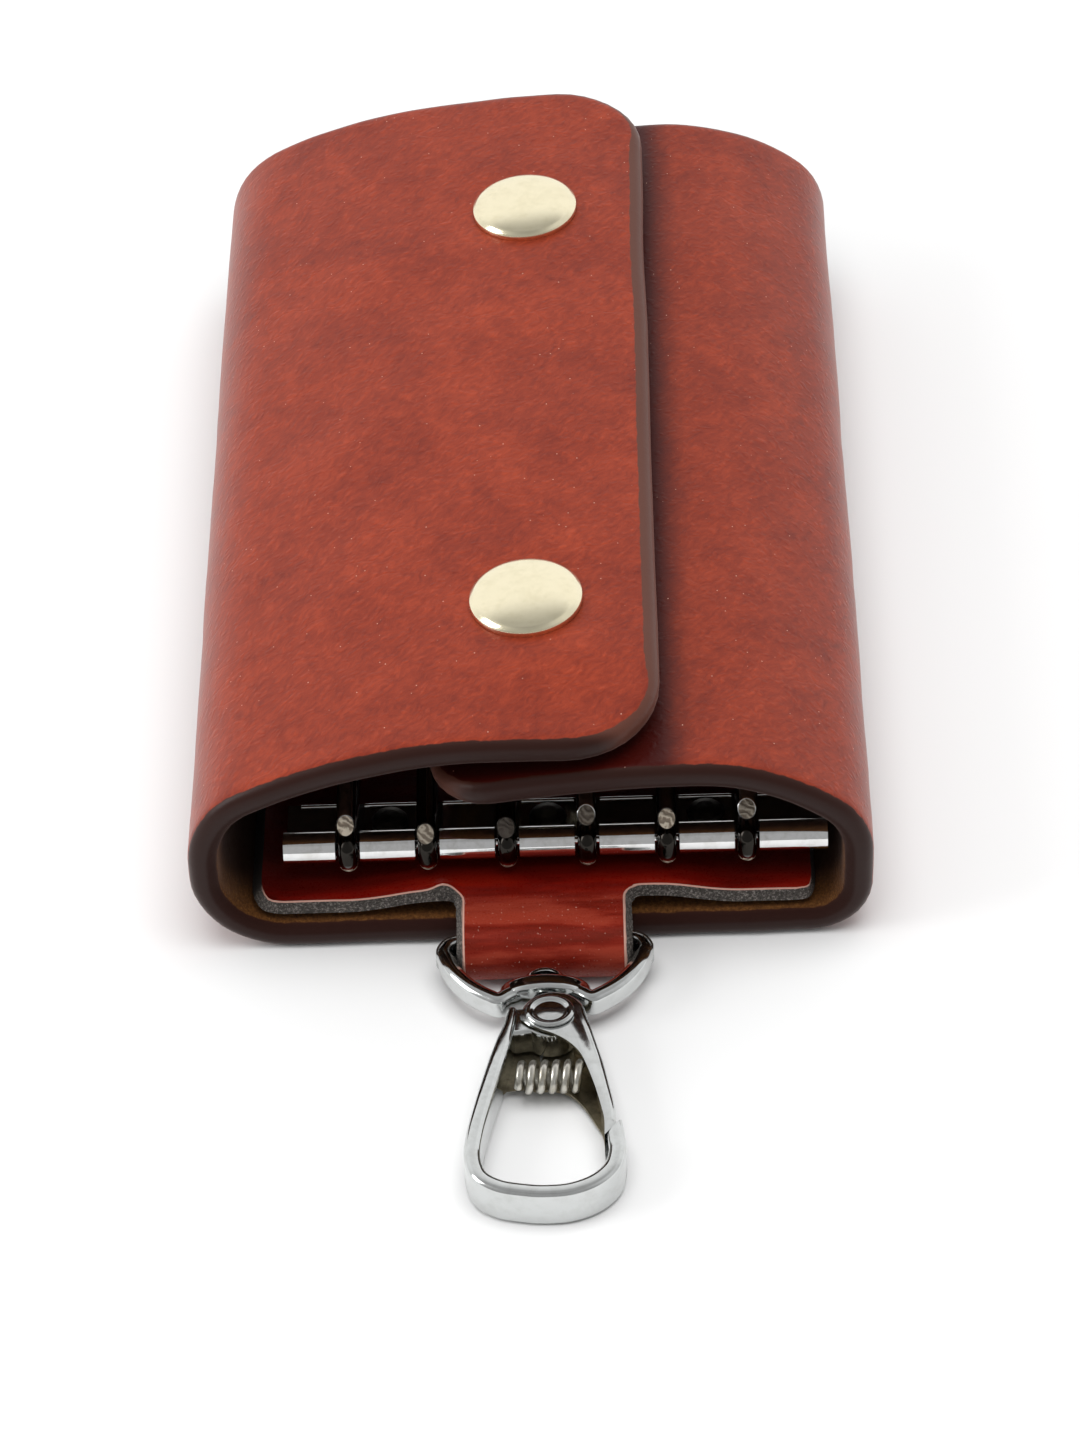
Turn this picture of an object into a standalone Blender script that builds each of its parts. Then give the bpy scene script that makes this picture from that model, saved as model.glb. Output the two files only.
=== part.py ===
# A six-hook leather key case with a swivel snap hook, lying closed on its back.
# Metres, +Z up. +Y runs from the clasp end to the far end, +X to the right.
# The origin is on the back's underside, in the middle of the case.
import math

import bmesh
import bpy
from mathutils import Matrix, Vector

MM = 0.001
GAP = 0.3 * MM               # between two pieces that touch on the real case

# Case: one thick hide, folded round the keys
CASE_LENGTH = 110.0 * MM
CLASP_X = 1.05 * MM          # strap and clasp stand a little right of the middle
LEATHER = 3.0 * MM
LEFT_REACH = 34.3 * MM       # middle to the left outer face
RIGHT_REACH = 34.1 * MM
LEFT_LOW_RADIUS = 9.5 * MM
LEFT_WALL = 2.0 * MM         # straight part of the left side
LEFT_TOP_RADIUS = 10.7 * MM
LEFT_TOP_TURN = 64.0
SHOULDER_RADIUS = 58.6 * MM  # long rise of the front flap
SHOULDER_TURN = 16.5
CROWN_RADIUS = 109.0 * MM    # gentle dome under the snaps
CROWN_TURN = 13.5
RIGHT_LOW_RADIUS = 6.5 * MM
RIGHT_TOP_RADIUS = 9.0 * MM
RIGHT_TOP_TURN = 50.0
RIGHT_SHOULDER_RADIUS = 23.3 * MM
RIGHT_SHOULDER_TURN = 40.0
INNER_CROWN_RADIUS = 120.0 * MM
INNER_CROWN_TURN = 11.0
INNER_FLAP_END = 3.3 * MM
FLAP_CORNER = 9.5 * MM
INNER_FLAP_CORNER = 7.0 * MM
FLAP_SPACE = 2.5 * MM        # between the two flaps under the snaps
EDGE_ROUND = 1.1 * MM        # painted, rounded leather edges
LOW_FOLD_TURN = 45.0         # where the two folds of each side sit in their bends
TOP_FOLD_TURN = 48.0
BEND_STEP = 9.0              # degrees of bend for each facet

# Liner panel with the strap that holds the clasp
LINER = 1.9 * MM
LINER_LEFT = 30.0 * MM       # along the hide from the middle
LINER_RIGHT = 29.4 * MM
LINER_SETBACK = 1.1 * MM     # from the near edge of the hide
LINER_CORNER = 3.0 * MM
STRAP = 1.5 * MM
STRAP_WIDTH = 16.2 * MM
STRAP_TUCK = 22.0 * MM       # how far the strap runs back under the liner
STRAP_DROP = 60.0            # slope of the strap below the near edge, degrees

# Key plate
PLATE_SHEET = 0.5 * MM
PLATE_LEFT_ROOM = 9.4 * MM   # from the plate's ends to the sides' outer faces
PLATE_RIGHT_ROOM = 4.5 * MM
PLATE_FAR = 13.3 * MM        # far edge, from the near edge of the case
BARREL_RADIUS = 1.6 * MM
BARREL_Y = 4.8 * MM          # from the near edge of the case
JOGGLE_SLOPE = 30.0
ROD_RADIUS = 0.4 * MM
RIVET_SHANK = 0.9 * MM
RIVET_HEAD = 1.9 * MM
RIVET_HEAD_HEIGHT = 0.7 * MM

# Key hooks
HOOK_COUNT = 6
HOOK_PITCH = 8.0 * MM
HOOKS_ASIDE = 0.8 * MM       # the row of hooks stands left of the plate's middle
HOOK_WIRE = 1.9 * MM         # diameter
HOOK_LENGTH = 24.2 * MM      # rod to the middle of the far bend
HOOK_HEIGHT = 6.6 * MM       # between the middles of the two legs
HOOK_END_RISE = 4.2 * MM     # free end above the rod
HOOK_END_LEADS = [lead * MM for lead in (1.3, 2.6, 2.1, 0.8, 1.5, 0.5)]  # in front of the rod
HOOK_TILTS = (1.5, 3.0, 2.5, 0.5, 2.0, 1.0)

# Snap fasteners
SNAP_X = 0.1 * MM
SNAP_SPACING = 66.3 * MM
SNAP_FIRST_Y = 21.1 * MM     # from the near edge of the case
SNAP_CAP_RADIUS = 5.75 * MM
SNAP_CAP_HEIGHT = 1.35 * MM
SNAP_SHANK = 1.5 * MM
SOCKET_RADIUS = 4.4 * MM
SOCKET_HEIGHT = 1.3 * MM
SOCKET_TOP = 0.4 * MM
STUD_RADIUS = 1.9 * MM
STUD_PLAY = 1.0 * MM         # room for the socket's spring
STUD_HEIGHT = 0.9 * MM
STUD_WALL = 0.5 * MM
POST_DISC_RADIUS = 4.3 * MM
POST_DISC = 0.6 * MM

# Clasp: bail, swivel hook and gate, laid out from the bail's bar
BAR_LEAD = 3.75 * MM         # bar in front of the near edge
LOOP_RADIUS = 3.3 * MM       # outside of the strap's loop
BAIL_WIDTH = 21.8 * MM
BAIL_DEPTH = 9.9 * MM
BAIL_THICK = 1.7 * MM
BAIL_HEIGHT = 2.8 * MM
BOSS_NEAR = 5.7 * MM
BOSS_LENGTH = 1.9 * MM
BOSS_HALF_WIDTH = 4.5 * MM
BOSS_HALF_HEIGHT = 2.1 * MM
POST_RADIUS = 1.0 * MM
POST_HEAD_RADIUS = 2.1 * MM
POST_HEAD_LENGTH = 1.1 * MM
HOOK_REACH = 34.85 * MM      # bar to the end of the bow
BAND = 1.7 * MM              # seen from above
BAND_HEIGHT = 4.5 * MM
PIVOT_X = 1.56 * MM
NECK_RADIUS = 2.7 * MM
GATE_HEIGHT = 4.3 * MM
GATE_SHEET = 0.3 * MM
GATE_EYE_RADIUS = 2.9 * MM
GATE_WEB = 1.1 * MM
GATE_PIN_RADIUS = 1.1 * MM
GATE_PIN_HEAD = 2.4 * MM
GATE_PIN_HEAD_HEIGHT = 0.35 * MM
SPRING_DIAMETER = 3.1 * MM
SPRING_WIRE = 0.75 * MM
SPRING_TURNS = 5.5
SPRING_TURN_POINTS = 10
SPRING_DOWN = 6.7 * MM       # spring axis, from the gate's pin

NEAR_Y = -CASE_LENGTH / 2
FAR_Y = CASE_LENGTH / 2
PIVOT = Vector((PIVOT_X, BOSS_NEAR + BOSS_LENGTH + GATE_EYE_RADIUS + 2 * GAP))
DRAWN_REACH = (HOOK_REACH - PIVOT.y) / 23.75


def drawn(points):
    # The snap hook's outlines, as (right, forward) of its pivot, for a reach of 23.75.
    return [PIVOT + Vector(p) * DRAWN_REACH for p in points]


# Finishes

def finish(name, color, roughness, metallic=0.0):
    material = bpy.data.materials.new(name)
    material.use_nodes = True
    shader = material.node_tree.nodes["Principled BSDF"]
    shader.inputs["Base Color"].default_value = (*color, 1.0)
    shader.inputs["Roughness"].default_value = roughness
    shader.inputs["Metallic"].default_value = metallic
    return material


# Lines made of straight runs and arcs

class Line:
    # Walks in a plane: the heading is in degrees, and a turn to the right is positive.
    def __init__(self, x, z, heading):
        self.x = x
        self.z = z
        self.heading = heading
        self.length = 0.0
        self.parts = []

    def run(self, length):
        self.parts.append((self.length, self.x, self.z, self.heading, length, 0.0))
        self.x += length * math.cos(math.radians(self.heading))
        self.z += length * math.sin(math.radians(self.heading))
        self.length += length
        return self

    def arc(self, radius, turn):
        length = radius * math.radians(abs(turn))
        self.parts.append((self.length, self.x, self.z, self.heading, length, turn))
        self.x, self.z, self.heading = self.at(self.length + length)
        self.length += length
        return self

    def at(self, s):
        part = self.parts[0]
        for candidate in self.parts:
            if candidate[0] <= s + 1e-12:
                part = candidate
        start, x, z, heading, length, turn = part
        along = s - start
        angle = math.radians(heading)
        if turn == 0.0:
            return x + along * math.cos(angle), z + along * math.sin(angle), heading
        bend = math.radians(turn) * along / length
        radius = length / math.radians(turn)
        new = angle - bend
        return (x + radius * (math.sin(angle) - math.sin(new)),
                z + radius * (math.cos(new) - math.cos(angle)),
                math.degrees(new))

    def stations(self, step):
        found = []
        for start, _, _, _, length, turn in self.parts:
            count = max(1, math.ceil(abs(turn) / step - 1e-6))
            found += [start + length * k / count for k in range(count)]
        return found + [self.length]

    def points(self, step):
        return [Vector(self.at(s)[:2]) for s in self.stations(step)]


def fillet_line(corners, radii, step):
    # Straight runs through corner points, each inner corner rounded to its radius.
    points = [corners[0].copy()]
    for before, corner, after, radius in zip(corners, corners[1:], corners[2:], radii):
        back = (before - corner).normalized()
        ahead = (after - corner).normalized()
        half = back.angle(ahead) / 2
        centre = corner + (back + ahead).normalized() * radius / math.sin(half)
        first = corner + back * radius / math.tan(half)
        sweep = math.pi - 2 * half
        turn = 1.0 if back.x * ahead.y - back.y * ahead.x < 0 else -1.0
        count = max(1, math.ceil(math.degrees(sweep) / step))
        for k in range(count + 1):
            spoke = (first - centre).copy()
            spoke.rotate(Matrix.Rotation(turn * sweep * k / count, 2))
            points.append(centre + spoke)
    points.append(corners[-1].copy())
    return points


def smooth_line(points, steps):
    # A curve through the points, each stretch split in equal steps.
    ends = [points[0] * 2 - points[1]] + points + [points[-1] * 2 - points[-2]]
    curve = []
    for a, b, c, d in zip(ends, ends[1:], ends[2:], ends[3:]):
        for k in range(steps):
            t = k / steps
            curve.append(0.5 * (2 * b + (c - a) * t + (2 * a - 5 * b + 4 * c - d) * t * t
                                + (3 * b - a - 3 * c + d) * t * t * t))
    return curve + [points[-1].copy()]


# Meshes

def make_object(name, bm, material):
    mesh = bpy.data.meshes.new(name)
    bmesh.ops.recalc_face_normals(bm, faces=bm.faces)
    if bm.calc_volume(signed=True) < 0:
        bmesh.ops.reverse_faces(bm, faces=bm.faces)
    bm.to_mesh(mesh)
    bm.free()
    mesh.materials.append(material)
    item = bpy.data.objects.new(name, mesh)
    bpy.context.collection.objects.link(item)
    mesh.shade_smooth()
    mesh.set_sharp_from_angle(angle=math.radians(35))
    return item


def add_profile(bm, outline, depth_from, depth_to, place):
    # A closed outline drawn between two depths; place turns (a, b, depth) into a point.
    low = [bm.verts.new(place(p.x, p.y, depth_from)) for p in outline]
    face = bm.faces.new(low)
    raised = bmesh.ops.extrude_face_region(bm, geom=[face], use_keep_orig=True)
    shift = Vector(place(0, 0, depth_to)) - Vector(place(0, 0, depth_from))
    verts = [v for v in raised["geom"] if isinstance(v, bmesh.types.BMVert)]
    bmesh.ops.translate(bm, verts=verts, vec=shift)


def add_turned(bm, profile, centre, axis, segments=24):
    # A profile of (radius, height) spun round the axis; it starts and ends on the axis.
    turn = Vector((0, 0, 1)).rotation_difference(axis).to_matrix().to_4x4()
    place = Matrix.Translation(centre) @ turn
    verts = [bm.verts.new(place @ Vector((r, 0, h))) for r, h in profile]
    edges = [bm.edges.new(pair) for pair in zip(verts, verts[1:])]
    bmesh.ops.spin(bm, geom=verts + edges, cent=centre, axis=axis, angle=2 * math.pi,
                   steps=segments, use_merge=True)
    bmesh.ops.remove_doubles(bm, verts=bm.verts, dist=1e-6)


def turned(name, profile, centre, axis, material, segments=24):
    bm = bmesh.new()
    add_turned(bm, profile, centre, axis, segments)
    return make_object(name, bm, material)


def wire(name, points, diameter, material, resolution=1):
    curve = bpy.data.curves.new(name, "CURVE")
    curve.dimensions = "3D"
    curve.bevel_depth = diameter / 2
    curve.bevel_resolution = resolution
    curve.use_fill_caps = True
    spline = curve.splines.new("POLY")
    spline.points.add(len(points) - 1)
    for knot, point in zip(spline.points, points):
        knot.co = (*point, 1.0)
    curve.materials.append(material)
    item = bpy.data.objects.new(name, curve)
    bpy.context.collection.objects.link(item)
    return item


def cut(target, cutter, operation="DIFFERENCE"):
    cutter.hide_render = True
    cutter.display_type = "WIRE"
    modifier = target.modifiers.new(operation.title(), "BOOLEAN")
    modifier.operation = operation
    modifier.solver = "EXACT"
    modifier.object = cutter


def add_box(bm, low, high):
    size = [b - a for a, b in zip(low, high)]
    middle = [(a + b) / 2 for a, b in zip(low, high)]
    place = Matrix.Translation(middle) @ Matrix.Diagonal((*size, 1.0))
    bmesh.ops.create_cube(bm, size=1.0, matrix=place)


def add_cylinder(bm, start, end, radius, segments=24):
    start = Vector(start)
    end = Vector(end)
    turn = Vector((0, 0, 1)).rotation_difference(end - start).to_matrix().to_4x4()
    place = Matrix.Translation((start + end) / 2) @ turn
    bmesh.ops.create_cone(bm, cap_ends=True, segments=segments, radius1=radius,
                          radius2=radius, depth=(end - start).length, matrix=place)


def ring_of(name, outline, centre, axis, material, segments=24):
    # A closed outline of (radius, height) spun round the axis, with a hole in the middle.
    bm = bmesh.new()
    turn = Vector((0, 0, 1)).rotation_difference(axis).to_matrix().to_4x4()
    place = Matrix.Translation(centre) @ turn
    verts = [bm.verts.new(place @ Vector((r, 0, h))) for r, h in outline]
    edges = [bm.edges.new((a, b)) for a, b in zip(verts, verts[1:] + verts[:1])]
    bmesh.ops.spin(bm, geom=verts + edges, cent=centre, axis=axis, angle=2 * math.pi,
                   steps=segments, use_merge=True)
    bmesh.ops.remove_doubles(bm, verts=bm.verts, dist=1e-6)
    return make_object(name, bm, material)


def rounded_section(width, height, corner, steps=2):
    # The outline of a bar with rounded corners, as offsets across and up.
    offsets = []
    centres = ((1, 1, 0), (-1, 1, 90), (-1, -1, 180), (1, -1, 270))
    for side, up, start in centres:
        for k in range(steps + 1):
            angle = math.radians(start + 90 * k / steps)
            offsets.append((side * (width / 2 - corner) + corner * math.cos(angle),
                            up * (height / 2 - corner) + corner * math.sin(angle)))
    return offsets


def add_band(bm, centres, widths, height, corner):
    # A bar lying flat, swept along points (x, forward) of the clasp's plane.
    loops = []
    for k, centre in enumerate(centres):
        ahead = centres[min(k + 1, len(centres) - 1)] - centres[max(k - 1, 0)]
        side = Vector((ahead.y, -ahead.x)).normalized()
        verts = [bm.verts.new((centre.x + side.x * across, -(centre.y + side.y * across), up))
                 for across, up in rounded_section(widths[k], height, corner)]
        loops.append([bm.edges.new(pair) for pair in zip(verts, verts[1:] + verts[:1])])
    for loop, following in zip(loops, loops[1:]):
        bmesh.ops.bridge_loops(bm, edges=loop + following)
    bmesh.ops.contextual_create(bm, geom=loops[0])
    bmesh.ops.contextual_create(bm, geom=loops[-1])


def set_axis(item, point):
    # Moves a piece's origin onto the axis that it turns about.
    item.data.transform(Matrix.Translation(-point))
    item.location = point
    return item


def empty_at(name, point, rotation=(0, 0, 0)):
    item = bpy.data.objects.new(name, None)
    item.location = point
    item.rotation_euler = rotation
    bpy.context.collection.objects.link(item)
    return item


def fade(value, start, end):
    # One up to start, none past end, smooth between.
    t = min(max((end - value) / (end - start), 0.0), 1.0)
    return t * t * (3 - 2 * t)


def across(points, forward):
    # Where an edge of the clasp stands at a distance from the bar.
    for a, b in zip(points, points[1:]):
        if a.y <= forward <= b.y:
            return a.x + (b.x - a.x) * (forward - a.y) / (b.y - a.y)
    return points[-1].x


# The hide's section, from the middle of the back round each side

LEFT_SECTION = (Line(0.0, 0.0, 180.0)
                .run(LEFT_REACH - LEFT_LOW_RADIUS)
                .arc(LEFT_LOW_RADIUS, 90.0)
                .run(LEFT_WALL)
                .arc(LEFT_TOP_RADIUS, LEFT_TOP_TURN)
                .arc(SHOULDER_RADIUS, SHOULDER_TURN)
                .arc(CROWN_RADIUS, CROWN_TURN))


def right_section(wall):
    return (Line(0.0, 0.0, 180.0)
            .run(RIGHT_REACH - RIGHT_LOW_RADIUS)
            .arc(RIGHT_LOW_RADIUS, 90.0)
            .run(wall)
            .arc(RIGHT_TOP_RADIUS, RIGHT_TOP_TURN)
            .arc(RIGHT_SHOULDER_RADIUS, RIGHT_SHOULDER_TURN)
            .arc(INNER_CROWN_RADIUS, INNER_CROWN_TURN)
            .run(INNER_FLAP_END))


def height_over(line, x):
    # How high a section's outer face stands at a distance from the middle, found by halving.
    first, last = line.parts[4][0], line.length
    for _ in range(40):
        middle = (first + last) / 2
        if -line.at(middle)[0] > x:
            first = middle
        else:
            last = middle
    return line.at(first)[1]


# The right side's straight part lifts the inner flap to its place under the snaps.
RIGHT_WALL = (height_over(LEFT_SECTION, -SNAP_X) - LEATHER - FLAP_SPACE
              - height_over(right_section(0.0), SNAP_X))
RIGHT_SECTION = right_section(RIGHT_WALL)
LEFT_LOW_FOLD = LEFT_SECTION.parts[1][0] + LEFT_LOW_RADIUS * math.radians(LOW_FOLD_TURN)
LEFT_TOP_FOLD = LEFT_SECTION.parts[3][0] + LEFT_TOP_RADIUS * math.radians(TOP_FOLD_TURN)
RIGHT_LOW_FOLD = RIGHT_SECTION.parts[1][0] + RIGHT_LOW_RADIUS * math.radians(LOW_FOLD_TURN)
RIGHT_TOP_FOLD = (RIGHT_SECTION.parts[3][0]
                  + RIGHT_TOP_RADIUS * math.radians(RIGHT_TOP_TURN - 5.0))


def hide_point(s, y, depth):
    # s runs along the outer face: left of the middle is positive, right is negative.
    line, side = (LEFT_SECTION, 1) if s >= 0 else (RIGHT_SECTION, -1)
    x, z, heading = line.at(abs(s))
    angle = math.radians(heading)
    return Vector((side * (x + depth * math.sin(angle)), y, z - depth * math.cos(angle)))


def hide_normal(s):
    return (hide_point(s, 0, 0) - hide_point(s, 0, 1)).normalized()


def hide_above(x, first, last):
    # The place along the hide that stands over x, found by halving.
    for _ in range(40):
        middle = (first + last) / 2
        if (hide_point(middle, 0, 0).x < x) == (hide_point(first, 0, 0).x < x):
            first = middle
        else:
            last = middle
    return first


def sheet(name, s_range, y_range, corners, cuts, stations, rows, depth, thickness, place,
          material, rounding):
    # A flat blank with rounded corners, given its thickness, then folded into place.
    (s0, s1), (y0, y1) = s_range, y_range
    middle = Vector(((s0 + s1) / 2, y0))
    loop = [middle, Vector((s1, y0)), Vector((s1, y1)), Vector((s0, y1)), Vector((s0, y0)), middle]
    radii = [corners[1], corners[1], corners[0], corners[0]]
    outline = rounded_loop(loop, radii)
    bm = bmesh.new()
    bm.faces.new([bm.verts.new((p.x, p.y, depth)) for p in outline])
    for s in stations:
        if s0 + EDGE_ROUND < s < s1 - EDGE_ROUND:
            geom = bm.verts[:] + bm.edges[:] + bm.faces[:]
            bmesh.ops.bisect_plane(bm, geom=geom, plane_co=(s, 0, 0), plane_no=(1, 0, 0))
    for y in rows:
        geom = bm.verts[:] + bm.edges[:] + bm.faces[:]
        bmesh.ops.bisect_plane(bm, geom=geom, plane_co=(0, y, 0), plane_no=(0, 1, 0))
    raised = bmesh.ops.extrude_face_region(bm, geom=bm.faces[:], use_keep_orig=True)
    verts = [v for v in raised["geom"] if isinstance(v, bmesh.types.BMVert)]
    bmesh.ops.translate(bm, verts=verts, vec=(0, 0, thickness))
    bmesh.ops.recalc_face_normals(bm, faces=bm.faces)
    if rounding:
        rim = [e for e in bm.edges if is_rim(e, cuts)]
        bmesh.ops.bevel(bm, geom=rim, offset=rounding, segments=2, profile=0.5, affect="EDGES")
    for vert in bm.verts:
        vert.co = place(vert.co.x, vert.co.y, vert.co.z)
    bmesh.ops.triangulate(bm, faces=bm.faces)
    return make_object(name, bm, material)


def rounded_loop(loop, radii):
    outline = [loop[0]]
    for before, corner, after, radius in zip(loop, loop[1:], loop[2:], radii):
        if radius:
            outline += fillet_line([before, corner, after], [radius], 15.0)[1:-1]
        else:
            outline.append(corner)
    return outline


def is_rim(edge, cuts):
    # An edge between a face of the blank and its outer side, but not at a fold's cut.
    flat = [abs(f.normal.z) > 0.9 for f in edge.link_faces]
    if sorted(flat) != [False, True]:
        return False
    side = edge.link_faces[flat.index(False)]
    return not any(abs(v - side.calc_center_median().x) < 1e-6 for v in cuts)


def fold_axis(s):
    # A fold turns about a line along Y on the hide's outer face.
    return hide_point(s, 0.0, 0.0)


def hide_panel(name, s_from, s_to, cuts, corners, leather):
    stations = ([s for s in LEFT_SECTION.stations(BEND_STEP) if s > 0]
                + [-s for s in RIGHT_SECTION.stations(BEND_STEP)])
    return sheet(name, (s_from, s_to), (NEAR_Y, FAR_Y), corners, cuts, sorted(stations), [],
                 0.0, LEATHER, hide_point, leather, EDGE_ROUND)


def make_hide(leather):
    half = GAP / 2
    low_left, top_left = LEFT_LOW_FOLD, LEFT_TOP_FOLD
    low_right, top_right = -RIGHT_LOW_FOLD, -RIGHT_TOP_FOLD
    front_end, inner_end = LEFT_SECTION.length, -RIGHT_SECTION.length
    back = hide_panel("back_panel", low_right + half, low_left - half,
                      (low_right + half, low_left - half), (0, 0), leather)
    left = hide_panel("left_side_panel", low_left + half, top_left - half,
                      (low_left + half, top_left - half), (0, 0), leather)
    front = hide_panel("front_flap_panel", top_left + half, front_end,
                       (top_left + half,), (0, FLAP_CORNER), leather)
    right = hide_panel("right_side_panel", top_right + half, low_right - half,
                       (top_right + half, low_right - half), (0, 0), leather)
    inner = hide_panel("inner_flap_panel", inner_end, top_right - half,
                       (top_right - half,), (INNER_FLAP_CORNER, 0), leather)
    set_axis(left, fold_axis(low_left))
    set_axis(front, fold_axis(top_left))
    set_axis(right, fold_axis(low_right))
    set_axis(inner, fold_axis(top_right))
    return back, left, front, right, inner


# Liner and strap

LIFT = STRAP - 0.05 * MM     # the tucked strap raises the liner
LIFT_FLAT_Y = 10.0 * MM
LIFT_END_Y = 30.0 * MM
LIFT_END_X = 20.0 * MM
LINER_BASE = LEATHER + GAP
LINER_TOP = LINER_BASE + LIFT + LINER
BAR_Y = NEAR_Y - BAR_LEAD


def liner_lift(x, y):
    return (LIFT * fade(abs(x - CLASP_X), STRAP_WIDTH / 2 + 1.0 * MM, LIFT_END_X)
            * fade(y - NEAR_Y, LIFT_FLAT_Y, LIFT_END_Y))


def liner_point(s, y, depth):
    point = hide_point(s, y, LINER_BASE + depth)
    point.z += liner_lift(point.x, y)
    return point


def ribbon(line, thickness, step):
    # Both faces of a strip of even thickness that follows a line.
    upper, lower = [], []
    for s in line.stations(step):
        x, z, heading = line.at(s)
        normal = Vector((-math.sin(math.radians(heading)), math.cos(math.radians(heading))))
        upper.append(Vector((x, z)) + normal * thickness / 2)
        lower.append(Vector((x, z)) - normal * thickness / 2)
    return upper + lower[::-1]


def strap_line():
    loop = LOOP_RADIUS - STRAP / 2
    tucked = LINER_BASE + STRAP / 2
    slope = math.radians(STRAP_DROP)
    bend = STRAP * (1 - math.cos(slope))
    rise = tucked - (LOOP_RADIUS - loop * math.cos(slope)) - bend
    overlap = LINER_SETBACK + 5.0 * MM
    return (Line(NEAR_Y + overlap, LOOP_RADIUS + loop, 180.0)
            .run(overlap + BAR_LEAD)
            .arc(loop, -180.0 - STRAP_DROP)
            .run(rise / math.sin(slope))
            .arc(STRAP, STRAP_DROP)
            .run(STRAP_TUCK))


def rivet_places():
    # Between hooks: after the first, the third and the fifth.
    y = (plate_line().at(plate_flat())[0] + NEAR_Y + PLATE_FAR) / 2
    return [Vector((HOOK_FIRST_X + HOOK_PITCH * (gap + 0.5), y)) for gap in (0, 2, 4)]


def make_liner(leather):
    rows = [NEAR_Y + LIFT_FLAT_Y + (LIFT_END_Y - LIFT_FLAT_Y) * k / 4 for k in range(5)]
    spread = [CLASP_X + side * (STRAP_WIDTH / 2 + 1.0 * MM + step * 2.7 * MM)
              for side in (-1, 1) for step in range(5)]
    bends = ([s for s in LEFT_SECTION.stations(BEND_STEP) if s > 0]
             + [-s for s in RIGHT_SECTION.stations(BEND_STEP)])
    stations = sorted(bends + [-x for x in spread])
    liner = sheet("inner_liner", (-LINER_RIGHT, LINER_LEFT),
                  (NEAR_Y + LINER_SETBACK, FAR_Y - LINER_SETBACK), (LINER_CORNER, LINER_CORNER),
                  (), stations, rows, 0.0, LINER, liner_point, leather, 0.0)
    bm = bmesh.new()
    add_profile(bm, ribbon(strap_line(), STRAP, 15.0), CLASP_X - STRAP_WIDTH / 2,
                CLASP_X + STRAP_WIDTH / 2, lambda y, z, x: (x, y, z))
    cut(liner, make_object("strap_shape", bm, leather), "UNION")
    bm = bmesh.new()
    ceiling = LINER_BASE + RIVET_BURR + GAP
    hole = [(0.0, -LEATHER), (RIVET_POCKET, -LEATHER), (RIVET_POCKET, ceiling),
            (RIVET_SHANK + GAP, ceiling), (RIVET_SHANK + GAP, 2 * LINER_TOP), (0.0, 2 * LINER_TOP)]
    for place in rivet_places():
        add_turned(bm, hole, Vector((*place, 0.0)), Vector((0, 0, 1)), 16)
    cut(liner, make_object("liner_rivet_holes", bm, leather))
    return liner


# Key plate, its rod and rivets

PLATE_LEFT = PLATE_LEFT_ROOM - LEFT_REACH
PLATE_RIGHT = RIGHT_REACH - PLATE_RIGHT_ROOM
HOOK_FIRST_X = ((PLATE_LEFT + PLATE_RIGHT) / 2 - HOOKS_ASIDE
                - HOOK_PITCH * (HOOK_COUNT - 1) / 2)
RIVET_BURR = 0.5 * MM
RIVET_POCKET = 2.0 * MM
EYE_RADIUS = ROD_RADIUS + GAP + HOOK_WIRE / 2
BARREL_Z = LINER_TOP + GAP + EYE_RADIUS + HOOK_WIRE / 2
PLATE_TOP = LINER_TOP + GAP + PLATE_SHEET
SLOT_HALF = HOOK_WIRE / 2 + GAP
JOGGLE_RADIUS = 2.0 * MM


def joggle_rise():
    return BARREL_Z - (BARREL_RADIUS - PLATE_SHEET / 2) - (PLATE_TOP - PLATE_SHEET / 2)


def joggle_slant():
    bends = 2 * JOGGLE_RADIUS * (1 - math.cos(math.radians(JOGGLE_SLOPE)))
    return (joggle_rise() - bends) / math.sin(math.radians(JOGGLE_SLOPE))


def plate_flat():
    slope = math.radians(JOGGLE_SLOPE)
    joggle = 2 * JOGGLE_RADIUS * math.sin(slope) + joggle_slant() * math.cos(slope)
    return PLATE_FAR - BARREL_Y - joggle


def plate_line():
    return (Line(NEAR_Y + PLATE_FAR, PLATE_TOP - PLATE_SHEET / 2, 180.0)
            .run(plate_flat())
            .arc(JOGGLE_RADIUS, JOGGLE_SLOPE)
            .run(joggle_slant())
            .arc(JOGGLE_RADIUS, -JOGGLE_SLOPE)
            .arc(BARREL_RADIUS - PLATE_SHEET / 2, 270.0))


def hook_x(number):
    return HOOK_FIRST_X + HOOK_PITCH * number


def make_plate(steel):
    bm = bmesh.new()
    add_profile(bm, ribbon(plate_line(), PLATE_SHEET, 22.5), PLATE_LEFT, PLATE_RIGHT,
                lambda y, z, x: (x, y, z))
    plate = make_object("key_plate", bm, steel)
    reach = EYE_RADIUS + HOOK_WIRE / 2 + GAP
    bm = bmesh.new()
    for number in range(HOOK_COUNT):
        x = hook_x(number)
        add_box(bm, (x - SLOT_HALF, NEAR_Y, LINER_BASE),
                (x + SLOT_HALF, NEAR_Y + BARREL_Y + reach, BARREL_Z + reach))
    cut(plate, make_object("plate_slots", bm, steel))
    bm = bmesh.new()
    for place in rivet_places():
        add_cylinder(bm, (*place, LINER_BASE), (*place, BARREL_Z), RIVET_SHANK + GAP)
    cut(plate, make_object("plate_rivet_holes", bm, steel))
    return plate


def make_rod(steel):
    bm = bmesh.new()
    inset = 1.0 * MM
    axis = (NEAR_Y + BARREL_Y, BARREL_Z)
    add_cylinder(bm, (PLATE_LEFT + inset, *axis), (PLATE_RIGHT - inset, *axis),
                 ROD_RADIUS, 12)
    return make_object("hook_rod", bm, steel)


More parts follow.
